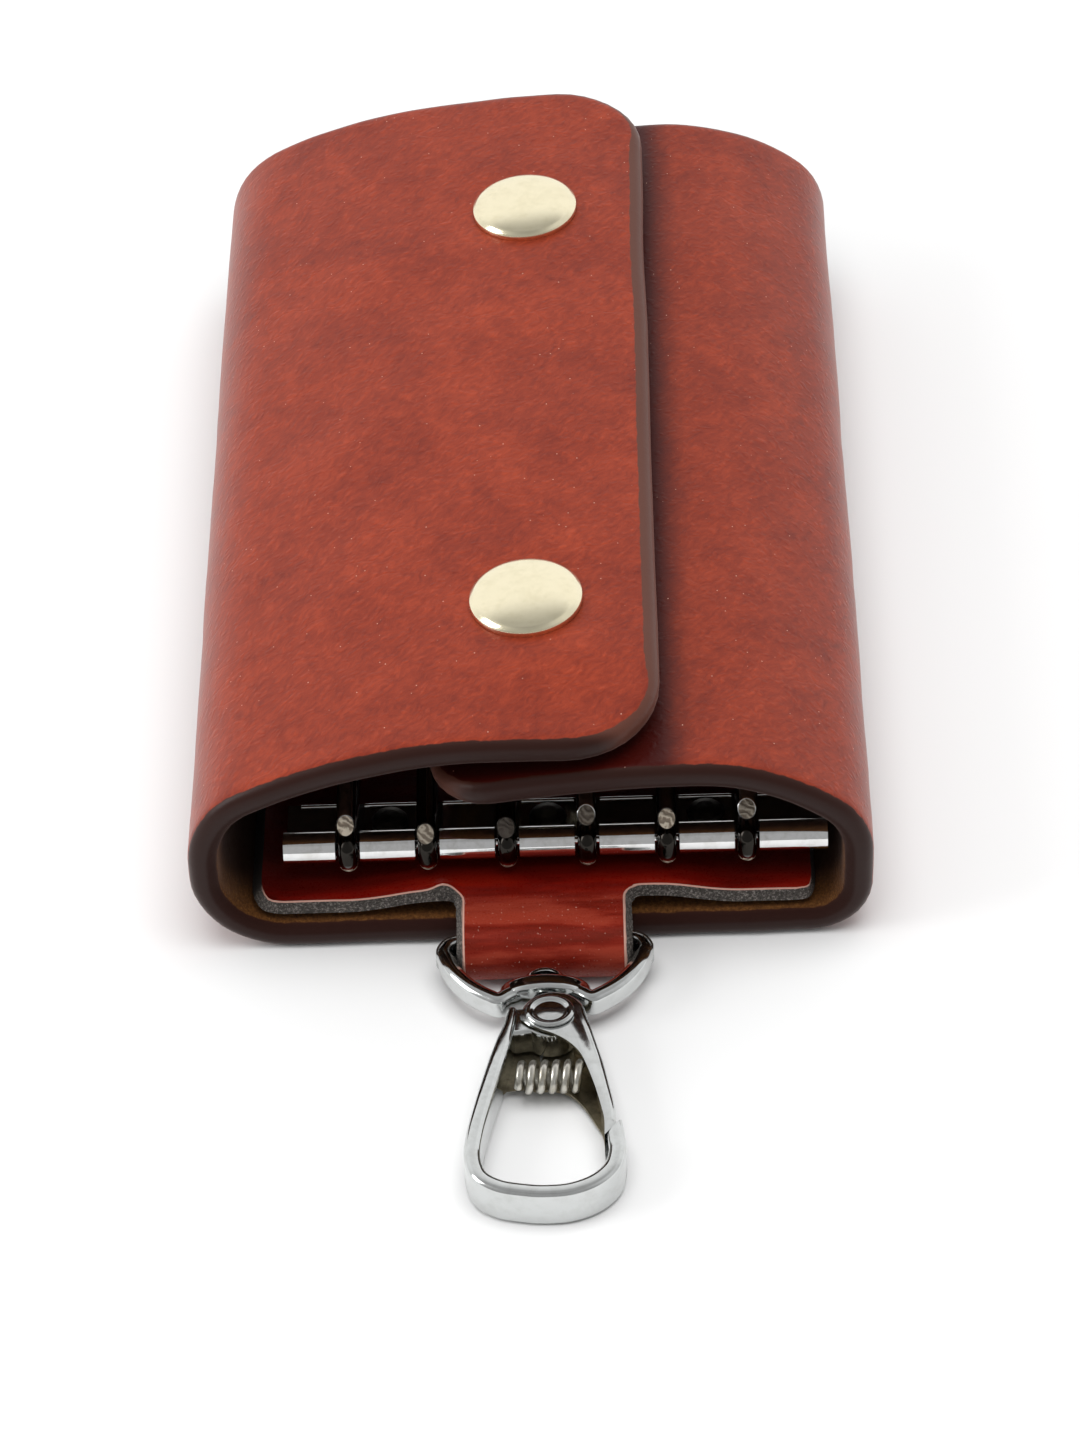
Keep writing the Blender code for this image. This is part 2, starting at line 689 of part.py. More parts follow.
def make_rivet(number, place, steel):
    head = PLATE_TOP + GAP
    profile = [(0.0, LINER_BASE), (RIVET_POCKET - GAP, LINER_BASE),
               (RIVET_POCKET - GAP, LINER_BASE + RIVET_BURR),
               (RIVET_SHANK, LINER_BASE + RIVET_BURR), (RIVET_SHANK, head), (RIVET_HEAD, head)]
    for step in range(1, 4):
        angle = math.radians(30 * step)
        profile.append((RIVET_HEAD * math.cos(angle) if step < 3 else 0.0,
                        head + RIVET_HEAD_HEIGHT * math.sin(angle)))
    return turned(f"plate_rivet_{number}", profile, Vector((*place, 0.0)), Vector((0, 0, 1)),
                  steel, 16)


# Key hooks: one bent wire each, an eye round the rod and a long loop with a free end

def liner_top_at(x, y):
    return LINER_BASE + LINER + liner_lift(x, y)


def hook_points(lead):
    # Points (y, z) from the rod, for a hook that lies on the plate.
    tangent = math.radians(60.0)
    leg = PLATE_TOP + GAP + HOOK_WIRE / 2 - BARREL_Z
    start = Vector((EYE_RADIUS * math.cos(tangent), EYE_RADIUS * math.sin(tangent)))
    eye = Line(start.x, -start.y, 210.0).arc(EYE_RADIUS, 240.0)
    leg_start = start.x + (start.y - leg) * math.tan(tangent)
    past_plate = PLATE_FAR - BARREL_Y
    dip = 15.5 * MM
    low = liner_top_at(CLASP_X, NEAR_Y + BARREL_Y + dip) + GAP + HOOK_WIRE / 2 - BARREL_Z
    high = low + HOOK_HEIGHT
    bend = HOOK_HEIGHT / 2 * 0.98
    corners = [start, Vector((leg_start, leg)), Vector((past_plate + 0.5 * MM, leg)),
               Vector((dip, low)), Vector((HOOK_LENGTH, low)), Vector((HOOK_LENGTH, high)),
               Vector((HOOK_LENGTH / 2, high + 0.6 * MM)),
               Vector((-lead, HOOK_END_RISE))]
    radii = [2.0 * MM, 5.0 * MM, 5.0 * MM, bend, bend, 20.0 * MM]
    return eye.points(24.0)[:-1] + fillet_line(corners, radii, 24.0)


def make_key_hook(number, tilt, lead, steel):
    axis = empty_at(f"key_hook_{number + 1}_axis", (hook_x(number), NEAR_Y + BARREL_Y, BARREL_Z),
                    (math.radians(tilt), 0, 0))
    points = [Vector((0, p.x, p.y)) for p in hook_points(lead)]
    hook = wire(f"key_hook_{number + 1}", points, HOOK_WIRE, steel, 2)
    hook.parent = axis
    return hook


# Snap fasteners: cap and socket on the front flap, stud and post on the inner flap

POST_SHANK = STUD_RADIUS - STUD_WALL - GAP


def snap_seats():
    # Where the snaps' axes cross the two flaps' outer faces, as places along the hide.
    front = hide_above(SNAP_X, LEFT_SECTION.parts[4][0], LEFT_SECTION.length)
    inner = hide_above(SNAP_X, -RIGHT_SECTION.length, -RIGHT_SECTION.parts[4][0])
    return front, inner


def make_snap(number, y, front_flap, inner_flap, nickel):
    front, inner = snap_seats()
    front_seat, front_up = hide_point(front, y, 0), hide_normal(front)
    inner_seat, inner_up = hide_point(inner, y, 0), hide_normal(inner)
    ceiling = -LEATHER - GAP - SOCKET_TOP
    steps = 6
    dome = [(SNAP_CAP_RADIUS * math.sin(math.pi / 2 * k / steps),
             GAP + SNAP_CAP_HEIGHT * math.cos(math.pi / 2 * k / steps)) for k in range(steps)]
    rim = SNAP_CAP_HEIGHT * 0.12
    cap = dome + [(SNAP_CAP_RADIUS, GAP + rim), (SNAP_CAP_RADIUS - rim, GAP),
                  (SNAP_SHANK, GAP), (SNAP_SHANK, ceiling), (0.0, ceiling)]
    turned(f"snap_cap_{number}", cap, front_seat, front_up, nickel, 28)
    top, bottom = -LEATHER - GAP, -LEATHER - GAP - SOCKET_HEIGHT
    bore, cavity, edge = SNAP_SHANK + GAP, STUD_RADIUS + STUD_PLAY, 0.3 * MM
    socket = [(bore, top), (SOCKET_RADIUS - edge, top), (SOCKET_RADIUS, top - edge),
              (SOCKET_RADIUS, bottom + edge), (SOCKET_RADIUS - edge, bottom), (cavity, bottom),
              (cavity, top - SOCKET_TOP), (bore, top - SOCKET_TOP)]
    ring_of(f"snap_socket_{number}", socket, front_seat, front_up, nickel)
    stud_top, waist = GAP + STUD_HEIGHT, 0.15 * MM
    stud = [(0.0, stud_top), (STUD_RADIUS - edge, stud_top), (STUD_RADIUS, stud_top - edge),
            (STUD_RADIUS - waist, GAP + edge), (STUD_RADIUS, GAP), (POST_SHANK + GAP, GAP),
            (POST_SHANK + GAP, stud_top - edge), (0.0, stud_top - edge)]
    turned(f"snap_stud_{number}", stud, inner_seat, inner_up, nickel)
    disc_top = -LEATHER - GAP
    disc_bottom = disc_top - POST_DISC
    tip = stud_top - edge - GAP
    post = [(0.0, tip), (POST_SHANK, tip), (POST_SHANK, disc_top),
            (POST_DISC_RADIUS - waist, disc_top), (POST_DISC_RADIUS, disc_top - waist),
            (POST_DISC_RADIUS - 2 * waist, disc_bottom), (0.0, disc_bottom)]
    turned(f"snap_post_{number}", post, inner_seat, inner_up, nickel)
    for flap, seat, up, radius in ((front_flap, front_seat, front_up, bore),
                                   (inner_flap, inner_seat, inner_up, POST_SHANK + GAP)):
        bm = bmesh.new()
        add_cylinder(bm, seat + up * LEATHER, seat - up * 2 * LEATHER, radius, 16)
        cut(flap, make_object(f"{flap.name}_hole_{number}", bm, nickel))


# Clasp: everything below is laid out flat as (x, forward of the bar, up)

def clasp_tilt():
    return math.asin((LOOP_RADIUS - BAND_HEIGHT / 2) / HOOK_REACH)


def flat(x, forward, up=0.0):
    return Vector((x, -forward, up))


def parent_to(item, axis):
    item.parent = axis
    return item


def bail_points():
    # The bar, a rounded corner, half of an oval, and a turn inward to the boss.
    half = (BAIL_WIDTH - BAIL_THICK) / 2
    depth = BAIL_DEPTH - BAIL_THICK / 2
    corner = 1.5 * MM
    bend = [Vector((half - corner + corner * math.sin(math.radians(a)),
                    corner - corner * math.cos(math.radians(a)))) for a in (0, 30, 60, 90)]
    start = math.asin(corner / depth)
    end = math.acos(5.6 * MM / half)
    oval = [Vector((half * math.cos(start + (end - start) * k / 7),
                    depth * math.sin(start + (end - start) * k / 7))) for k in range(1, 8)]
    ends = [Vector((4.6 * MM, depth - 1.05 * MM)), Vector((3.6 * MM, depth - 1.7 * MM)),
            Vector((2.4 * MM, BOSS_NEAR + BOSS_LENGTH / 2))]
    right = [Vector((0.0, 0.0))] + bend + oval + smooth_line(ends, 2)
    left = [Vector((-p.x, p.y)) for p in right[:0:-1]]
    return [p + Vector((CLASP_X, 0.0)) for p in left + right]


def make_bail(chrome, axis):
    points = bail_points()
    bm = bmesh.new()
    add_band(bm, points, [BAIL_THICK] * len(points), BAIL_HEIGHT, 0.6 * MM)
    bail = make_object("clasp_bail", bm, chrome)
    bm = bmesh.new()
    profile = [(0.0, 0.0), (0.9, 0.0), (1.0, 0.25), (1.0, 0.75), (0.9, 1.0), (0.0, 1.0)]
    add_turned(bm, [(r, h * BOSS_LENGTH) for r, h in profile], Vector((0, 0, 0)),
               Vector((0, 0, 1)), 24)
    shape = Matrix.Diagonal((BOSS_HALF_WIDTH, BOSS_HALF_HEIGHT, 1.0, 1.0))
    stand = Matrix.Translation(flat(CLASP_X, BOSS_NEAR)) @ Matrix.Rotation(math.pi / 2, 4, "X")
    bmesh.ops.transform(bm, matrix=stand @ shape, verts=bm.verts)
    boss = make_object("bail_boss", bm, chrome)
    bm = bmesh.new()
    add_cylinder(bm, flat(CLASP_X, BOSS_NEAR - BOSS_LENGTH), flat(CLASP_X, BOSS_NEAR + 2 * BOSS_LENGTH),
                 POST_RADIUS + GAP, 16)
    bore = make_object("bail_bore", bm, chrome)
    cut(bail, boss, "UNION")
    cut(bail, bore)
    for item in (bail, boss, bore):
        parent_to(item, axis)


# The hook's band from the neck round the bow to the tip: middle line and width

BAND_LINE = drawn((
    (-3.66, -0.8), (-4.01, 1.3), (-4.51, 3.3), (-5.16, 5.7), (-5.91, 8.7), (-6.66, 11.9),
    (-7.31, 15.2), (-7.56, 18.2), (-6.86, 20.7), (-5.01, 22.1), (-2.56, 22.7), (-0.56, 22.9),
    (1.84, 22.7), (4.14, 21.7), (5.74, 20.0), (6.29, 18.0), (6.24, 16.3), (5.94, 13.9)))
BAND_TAPER = (0.53, 0.7, 0.94)
SEAM_OUT, SEAM_IN = drawn(((6.54, 14.4), (5.44, 15.9)))
SHOULDER_NEAR, SHOULDER_FAR = drawn(((-3.86, -1.2), (-4.16, 2.3)))


def make_hook_body(chrome, axis):
    steps = 2
    points = smooth_line(BAND_LINE, steps)
    shares = [BAND_TAPER[min(k // steps, 2)] if k < 3 * steps else 1.0 for k in range(len(points))]
    bm = bmesh.new()
    add_band(bm, points, [BAND * share for share in shares], BAND_HEIGHT, 0.42 * MM)
    body = make_object("hook_body", bm, chrome)
    half = GATE_HEIGHT / 2 - GATE_SHEET - GAP
    pivot = flat(*PIVOT)
    up = Vector((0, 0, half))
    bm = bmesh.new()
    add_cylinder(bm, pivot - up, pivot + up, NECK_RADIUS, 24)
    neck = make_object("hook_neck", bm, chrome)
    bm = bmesh.new()
    outline = [SHOULDER_NEAR, PIVOT - Vector((0, NECK_RADIUS * 0.55)),
               PIVOT + Vector((0, NECK_RADIUS * 0.65)), SHOULDER_FAR]
    add_profile(bm, outline, -half * 0.98, half * 0.98, lambda x, v, w: (x, -v, w))
    shoulder = make_object("hook_shoulder", bm, chrome)
    head = BOSS_NEAR - GAP
    profile = [(0.0, head - POST_HEAD_LENGTH)]
    for k in range(1, 4):
        angle = math.radians(30 * k)
        profile.append((POST_HEAD_RADIUS * math.sin(angle),
                        head - POST_HEAD_LENGTH * (0.25 + 0.75 * math.cos(angle))))
    profile += [(POST_HEAD_RADIUS, head), (POST_RADIUS, head),
                (POST_RADIUS, PIVOT.y - NECK_RADIUS / 2), (0.0, PIVOT.y - NECK_RADIUS / 2)]
    bm = bmesh.new()
    add_turned(bm, profile, Vector((CLASP_X, 0, 0)), Vector((0, -1, 0)), 20)
    post = make_object("hook_post", bm, chrome)
    bm = bmesh.new()
    tall = BAND_HEIGHT
    out = SEAM_OUT + (SEAM_OUT - SEAM_IN)
    inn = SEAM_IN + (SEAM_IN - SEAM_OUT)
    outline = [out, inn, inn + Vector((-2, -4)) * MM, out + Vector((-2, -4)) * MM]
    add_profile(bm, outline, -tall, tall, lambda x, v, w: (x, -v, w))
    seam = make_object("hook_seam", bm, chrome)
    bm = bmesh.new()
    add_cylinder(bm, pivot - up * 2, pivot + up * 2, GATE_PIN_RADIUS + GAP, 16)
    bore = make_object("hook_pin_bore", bm, chrome)
    for part in (neck, shoulder, post):
        cut(body, part, "UNION")
    cut(body, seam)
    cut(body, bore)
    for item in (body, neck, shoulder, post, seam, bore):
        parent_to(item, axis)


GATE_EYE = PIVOT + Vector((0.3, 0.3)) * MM
GATE_OUTER = drawn(((4.34, 3.1), (5.14, 6.1), (5.69, 9.1), (6.14, 11.8)))
GATE_INNER = drawn((
    (5.09, 13.6), (4.74, 11.6), (4.24, 9.3), (3.54, 6.8), (2.84, 5.0), (1.74, 3.7), (0.44, 2.8),
    (-0.96, 2.15), (-2.06, 1.5)))


def gate_outline():
    reach = GATE_EYE_RADIUS + 0.35 * MM
    eye = [GATE_EYE + Vector((math.cos(math.radians(a)), -math.sin(math.radians(a)))) * reach
           for a in range(185, -1, -15)]
    clear = Vector((SEAM_OUT.y - SEAM_IN.y, SEAM_IN.x - SEAM_OUT.x)).normalized() * GAP
    outer = smooth_line([eye[-1]] + GATE_OUTER + [SEAM_OUT + clear], 2)[1:]
    inner = smooth_line([SEAM_IN + clear + Vector((-0.1, 0.0)) * MM] + GATE_INNER, 2)
    return eye + outer + inner


def make_gate(chrome, axis):
    half = GATE_HEIGHT / 2
    bm = bmesh.new()
    add_profile(bm, gate_outline(), -half, half, lambda x, v, w: (x, -v, w))
    bmesh.ops.recalc_face_normals(bm, faces=bm.faces)
    rim = [e for e in bm.edges if is_rim(e, ())]
    bmesh.ops.bevel(bm, geom=rim, offset=0.2 * MM, segments=1, profile=0.5, affect="EDGES")
    gate = make_object("hook_gate", bm, chrome)
    web = [p - Vector((GATE_WEB, 0.0)) for p in GATE_OUTER]
    below_neck = PIVOT.y + NECK_RADIUS - 0.6 * MM
    right, left = GATE_OUTER[-1].x + BAND, PIVOT.x - 2 * GATE_EYE_RADIUS
    channel = ([Vector((right, BOSS_NEAR)), Vector((right, below_neck - 1.2 * MM)),
                Vector((across([GATE_EYE] + web, below_neck), below_neck))]
               + web + [Vector((left, web[-1].y)), Vector((left, BOSS_NEAR))])
    inside = half - GATE_SHEET
    bm = bmesh.new()
    add_profile(bm, channel, -inside, inside, lambda x, v, w: (x, -v, w))
    channel_shape = make_object("gate_channel", bm, chrome)
    bm = bmesh.new()
    pivot = flat(*PIVOT)
    up = Vector((0, 0, GATE_HEIGHT))
    add_cylinder(bm, pivot - up, pivot + up, GATE_PIN_RADIUS + GAP, 16)
    bore = make_object("gate_pin_bore", bm, chrome)
    cut(gate, channel_shape)
    cut(gate, bore)
    for item in (gate, channel_shape, bore):
        parent_to(item, axis)


def make_gate_pin(chrome, axis):
    seat = GATE_HEIGHT / 2 + GAP
    head = seat + GATE_PIN_HEAD_HEIGHT
    lip, dish = 0.12 * MM, 0.15 * MM
    upper = [(0.0, head - dish), (GATE_PIN_HEAD * 0.66, head - dish), (GATE_PIN_HEAD * 0.76, head),
             (GATE_PIN_HEAD - lip, head), (GATE_PIN_HEAD, head - lip), (GATE_PIN_HEAD, seat),
             (GATE_PIN_RADIUS, seat)]
    profile = upper + [(r, -h) for r, h in reversed(upper)]
    parent_to(turned("gate_pin", profile, flat(*PIVOT), Vector((0, 0, 1)), chrome), axis)


def spring_points():
    coil = (SPRING_DIAMETER - SPRING_WIRE) / 2
    room = GAP + SPRING_WIRE / 2
    down = PIVOT.y + SPRING_DOWN
    top = down - coil - SPRING_WIRE / 2
    left = across(BAND_LINE, top) + BAND / 2 + 0.15 * MM + room
    right = across(GATE_OUTER, top) - GATE_WEB - room
    count = round(SPRING_TURNS * SPRING_TURN_POINTS)
    points = []
    for k in range(count + 1):
        angle = 2 * math.pi * k / SPRING_TURN_POINTS
        points.append(flat(left + (right - left) * k / count,
                           down + coil * math.cos(angle), coil * math.sin(angle)))
    return points


def least_self_gap(points, diameter, skip):
    gaps = [(a - b).length for k, a in enumerate(points) for b in points[k + skip:]]
    return min(gaps) - diameter


def main():
    for item in list(bpy.data.objects):
        bpy.data.objects.remove(item)
    leather = finish("shell_leather", (0.35, 0.068, 0.038), 0.38)
    liner_leather = finish("liner_leather", (0.16, 0.012, 0.010), 0.28)
    steel = finish("plated_steel", (0.78, 0.78, 0.79), 0.12, 1.0)
    nickel = finish("nickel", (0.74, 0.70, 0.62), 0.2, 1.0)
    chrome = finish("chrome", (0.80, 0.81, 0.83), 0.08, 1.0)
    _, _, front_flap, _, inner_flap = make_hide(leather)
    make_liner(liner_leather)
    make_plate(steel)
    make_rod(steel)
    for number, place in enumerate(rivet_places(), start=1):
        make_rivet(number, place, steel)
    for number, (tilt, lead) in enumerate(zip(HOOK_TILTS, HOOK_END_LEADS)):
        make_key_hook(number, tilt, lead, steel)
    for number in (1, 2):
        y = NEAR_Y + SNAP_FIRST_Y + SNAP_SPACING * (number - 1)
        make_snap(number, y, front_flap, inner_flap, nickel)
    clasp = empty_at("clasp_axis", (0.0, BAR_Y, LOOP_RADIUS), (clasp_tilt(), 0, 0))
    make_bail(chrome, clasp)
    make_hook_body(chrome, clasp)
    make_gate(chrome, clasp)
    make_gate_pin(chrome, clasp)
    coil = spring_points()
    parent_to(wire("gate_spring", coil, SPRING_WIRE, steel), clasp)
    gap = least_self_gap(coil, SPRING_WIRE, SPRING_TURN_POINTS // 2)
    print(f"gate_spring: least gap to itself {gap / MM:.2f} mm")


main()
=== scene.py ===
# Leather key case with a swivel clasp: the looks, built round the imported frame.
import math

import bmesh
import bpy
from mathutils import Matrix, Vector, noise


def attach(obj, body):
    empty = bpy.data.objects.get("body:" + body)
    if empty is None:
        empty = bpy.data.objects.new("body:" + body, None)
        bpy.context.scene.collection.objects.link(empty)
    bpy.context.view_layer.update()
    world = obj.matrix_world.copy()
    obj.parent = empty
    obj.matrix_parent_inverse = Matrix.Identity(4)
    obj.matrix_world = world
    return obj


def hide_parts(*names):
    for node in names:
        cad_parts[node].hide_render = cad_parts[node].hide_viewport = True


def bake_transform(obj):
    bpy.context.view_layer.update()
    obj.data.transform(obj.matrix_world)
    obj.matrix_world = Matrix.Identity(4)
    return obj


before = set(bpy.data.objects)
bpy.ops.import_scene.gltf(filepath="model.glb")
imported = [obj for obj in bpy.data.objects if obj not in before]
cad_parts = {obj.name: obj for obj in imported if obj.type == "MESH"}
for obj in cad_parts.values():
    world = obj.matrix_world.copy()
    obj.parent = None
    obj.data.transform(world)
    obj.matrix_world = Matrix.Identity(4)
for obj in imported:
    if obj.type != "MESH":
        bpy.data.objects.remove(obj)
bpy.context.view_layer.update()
mm = 0.001
print("frame loaded")


# Camera, as fitted to the photograph
camera = {
    "target": (0.29 * mm, -10.0 * mm, 10.0 * mm),
    "distance": 524.93 * mm,
    "rise": -15.012 * mm,      # camera moved along its own up before it looks
    "elevation": 41.83,
    "yaw": -1.551,
    "roll": -2.672,
    "focalPixels": 4939.1,     # for the 1440 pixels of the frame's height
}


def makeCamera():
    up = math.radians(camera["elevation"])
    yaw = math.radians(camera["yaw"])
    roll = math.radians(camera["roll"])
    forward = Vector((math.sin(yaw) * math.cos(up), math.cos(yaw) * math.cos(up), -math.sin(up)))
    level = Vector((math.cos(yaw), -math.sin(yaw), 0.0))
    upright = level.cross(forward)
    right = level * math.cos(roll) + upright * math.sin(roll)
    top = upright * math.cos(roll) - level * math.sin(roll)
    place = Vector(camera["target"]) - forward * camera["distance"] + upright * camera["rise"]
    data = bpy.data.cameras.new("camera")
    data.sensor_fit = "VERTICAL"
    data.sensor_height = 36.0
    data.lens = camera["focalPixels"] / 1440.0 * 36.0
    data.clip_start = 0.01
    item = bpy.data.objects.new("camera", data)
    turn = Matrix((right, top, -forward)).transposed().to_4x4()
    item.matrix_world = Matrix.Translation(place) @ turn
    bpy.context.collection.objects.link(item)
    bpy.context.scene.camera = item


makeCamera()
print("camera set")


# Small helpers that several pieces use
def feed(tree, socket, value):
    # a value goes into the socket, another node's output is linked to it
    if isinstance(value, bpy.types.NodeSocket):
        tree.links.new(value, socket)
    else:
        socket.default_value = value


def put(tree, kind, inputs=None, **settings):
    item = tree.nodes.new(kind)
    for name, value in settings.items():
        setattr(item, name, value)
    for name, value in (inputs or {}).items():
        feed(tree, item.inputs[name], value)
    return item


def newGroup(name, inputs, outputs):
    tree = bpy.data.node_groups.new(name, "ShaderNodeTree")
    for label, kind, value in inputs:
        socket = tree.interface.new_socket(label, in_out="INPUT", socket_type=kind)
        if value is not None:
            socket.default_value = value
    for label, kind in outputs:
        tree.interface.new_socket(label, in_out="OUTPUT", socket_type=kind)
    return tree, tree.nodes.new("NodeGroupInput").outputs, tree.nodes.new("NodeGroupOutput").inputs


def newMaterial(name):
    material = bpy.data.materials.new(name)
    material.use_nodes = True
    tree = material.node_tree
    return material, tree, tree.nodes["Principled BSDF"].inputs


def useGroup(tree, group, inputs):
    return put(tree, "ShaderNodeGroup", inputs, node_tree=group).outputs


def noiseOf(tree, place, **inputs):
    names = {"Vector": place}
    names.update((name.capitalize(), value) for name, value in inputs.items())
    return put(tree, "ShaderNodeTexNoise", names).outputs["Fac"]


def rampOf(tree, factor, stops):
    item = put(tree, "ShaderNodeValToRGB", {"Fac": factor})
    bar = item.color_ramp.elements
    while len(bar) < len(stops):
        bar.new(0.5)
    for slot, (place, color) in zip(bar, stops):
        slot.position = place
        slot.color = (*color, 1.0) if len(color) == 3 else color
    return item.outputs["Color"]


def mixColor(tree, factor, first, second, kind="MIX"):
    item = put(tree, "ShaderNodeMix", data_type="RGBA", blend_type=kind)
    for socket, value in zip((item.inputs[0], item.inputs[6], item.inputs[7]),
                             (factor, first, second)):
        feed(tree, socket, (*value, 1.0) if isinstance(value, tuple) else value)
    return item.outputs[2]


def mathOf(tree, kind, first, second=0.0, third=0.0):
    item = put(tree, "ShaderNodeMath", operation=kind)
    for socket, value in zip(item.inputs, (first, second, third)):
        feed(tree, socket, value)
    return item.outputs[0]


def rangeOf(tree, value, low, high, toLow=0.0, toHigh=1.0):
    item = put(tree, "ShaderNodeMapRange", {"Value": value, "From Min": low, "From Max": high,
                                            "To Min": toLow, "To Max": toHigh},
               interpolation_type="SMOOTHSTEP")
    return item.outputs["Result"]


def bumpOf(tree, height, strength, depth):
    bump = put(tree, "ShaderNodeBump", {"Height": height, "Strength": strength,
                                        "Distance": depth * mm})
    return bump.outputs["Normal"]


def raiseFaces(bm, faces, move):
    raised = bmesh.ops.extrude_face_region(bm, geom=faces, use_keep_orig=True)
    verts = [v for v in raised["geom"] if isinstance(v, bmesh.types.BMVert)]
    bmesh.ops.translate(bm, verts=verts, vec=move)


def softenRim(bm, width, segments):
    # the edges round the top and bottom of a flat sheet
    bmesh.ops.recalc_face_normals(bm, faces=bm.faces)
    rim = [e for e in bm.edges if sum(abs(f.normal.z) > 0.9 for f in e.link_faces) == 1]
    bmesh.ops.bevel(bm, geom=rim, offset=width, segments=segments, profile=0.5,
                    affect="EDGES", material=-1)


def bridgeRings(bm, rings):
    for ring, following in zip(rings, rings[1:]):
        bmesh.ops.bridge_loops(bm, edges=ring + following)


def wireRing(bm, facets, radius, place):
    made = bmesh.ops.create_circle(bm, segments=facets, radius=radius, matrix=place)
    own = set(made["verts"])
    return [e for e in bm.edges if e.verts[0] in own and e.verts[1] in own]


def toMetres(bm):
    bmesh.ops.scale(bm, vec=(mm, mm, mm), verts=bm.verts)


def cutAlong(bm, places, normal):
    for place in places:
        geom = bm.verts[:] + bm.edges[:] + bm.faces[:]
        bmesh.ops.bisect_plane(bm, geom=geom, plane_co=Vector(normal) * place, plane_no=normal)


def evenSteps(first, last, step):
    count = max(1, round((last - first) / step))
    return [first + (last - first) * k / count for k in range(1, count)]


def fadeOut(value, start, end):
    part = min(max((end - value) / (end - start), 0.0), 1.0)
    return part * part * (3 - 2 * part)


def finishPiece(name, bm, materials, sharp=40.0):
    bmesh.ops.recalc_face_normals(bm, faces=bm.faces)
    if bm.calc_volume(signed=True) < 0:
        bmesh.ops.reverse_faces(bm, faces=bm.faces)
    mesh = bpy.data.meshes.new(name)
    bm.to_mesh(mesh)
    bm.free()
    for material in materials:
        mesh.materials.append(material)
    mesh.shade_smooth()
    mesh.set_sharp_from_angle(angle=math.radians(sharp))
    item = bpy.data.objects.new(name, mesh)
    bpy.context.collection.objects.link(item)
    return item


# Floor, light and the air round them
studio = {
    "floorHalf": 4.0,
    "farFloor": (0.35, 0.9),    # over this distance the paper runs out into white
    "farGlow": 0.45,
    "floorColor": (0.74, 0.74, 0.74, 1.0),
    "airStrength": 0.74,
    "ceiling": 0.6,         # how much of it comes from straight above
    "front": 0.56,          # and from behind the camera
    "rear": 1.4,            # and from behind the case
    "ceilingFrom": (0.70, 0.92),
    "frontFrom": (-0.75, -0.1),
    "rearFrom": (0.1, 0.6),
    # name, place, size, watts and whether shiny parts mirror it
    "lamps": (("softTop", (0.05, -0.12, 0.8), (0.7, 0.6), 5.8, False),
              ("leftWindow", (-0.75, -0.15, 0.4), (0.4, 0.5), 3.0, True)),
}


def makeFloor():
    bm = bmesh.new()
    bmesh.ops.create_grid(bm, x_segments=1, y_segments=1, size=studio["floorHalf"])
    mesh = bpy.data.meshes.new("floor")
    bm.to_mesh(mesh)
    bm.free()
    item = bpy.data.objects.new("floor", mesh)
    bpy.context.collection.objects.link(item)
    material, tree, shader = newMaterial("floorPaper")
    shader["Base Color"].default_value = studio["floorColor"]
    shader["Roughness"].default_value = 0.9
    place = put(tree, "ShaderNodeTexCoord").outputs["Object"]
    away = put(tree, "ShaderNodeVectorMath", {0: place}, operation="LENGTH").outputs["Value"]
    glow = rangeOf(tree, away, *studio["farFloor"], 0.0, studio["farGlow"])
    tree.links.new(glow, shader["Emission Strength"])
    shader["Emission Color"].default_value = (1.0, 1.0, 1.0, 1.0)
    mesh.materials.append(material)


def makeLight(name, place, size, power, mirrored):
    # every lamp looks at the middle of the case
    data = bpy.data.lights.new(name, "AREA")
    data.shape = "RECTANGLE"
    data.size, data.size_y = size
    data.energy = power
    item = bpy.data.objects.new(name, data)
    item.visible_glossy = mirrored
    aim = -Vector(place)
    item.matrix_world = (Matrix.Translation(Vector(place))
                         @ aim.to_track_quat("-Z", "Y").to_matrix().to_4x4())
    bpy.context.collection.objects.link(item)


def makeAir():
    world = bpy.data.worlds.new("studio")
    world.use_nodes = True
    tree = world.node_tree
    place = put(tree, "ShaderNodeTexCoord").outputs["Generated"]
    way = put(tree, "ShaderNodeSeparateXYZ", {"Vector": place}).outputs
    high = rangeOf(tree, way["Z"], *studio["ceilingFrom"], studio["airStrength"],
                   studio["airStrength"] * studio["ceiling"])
    front = rangeOf(tree, way["Y"], *studio["frontFrom"], studio["front"], 1.0)
    rear = rangeOf(tree, way["Y"], *studio["rearFrom"], 1.0, studio["rear"])
    back = tree.nodes["Background"]
    back.inputs["Color"].default_value = (1.0, 1.0, 1.0, 1.0)
    power = mathOf(tree, "MULTIPLY", mathOf(tree, "MULTIPLY", high, front), rear)
    tree.links.new(power, back.inputs["Strength"])
    bpy.context.scene.world = world
    bpy.context.scene.view_settings.view_transform = "Standard"


makeFloor()
makeAir()
for lamp in studio["lamps"]:
    makeLight(*lamp)
print("studio set")


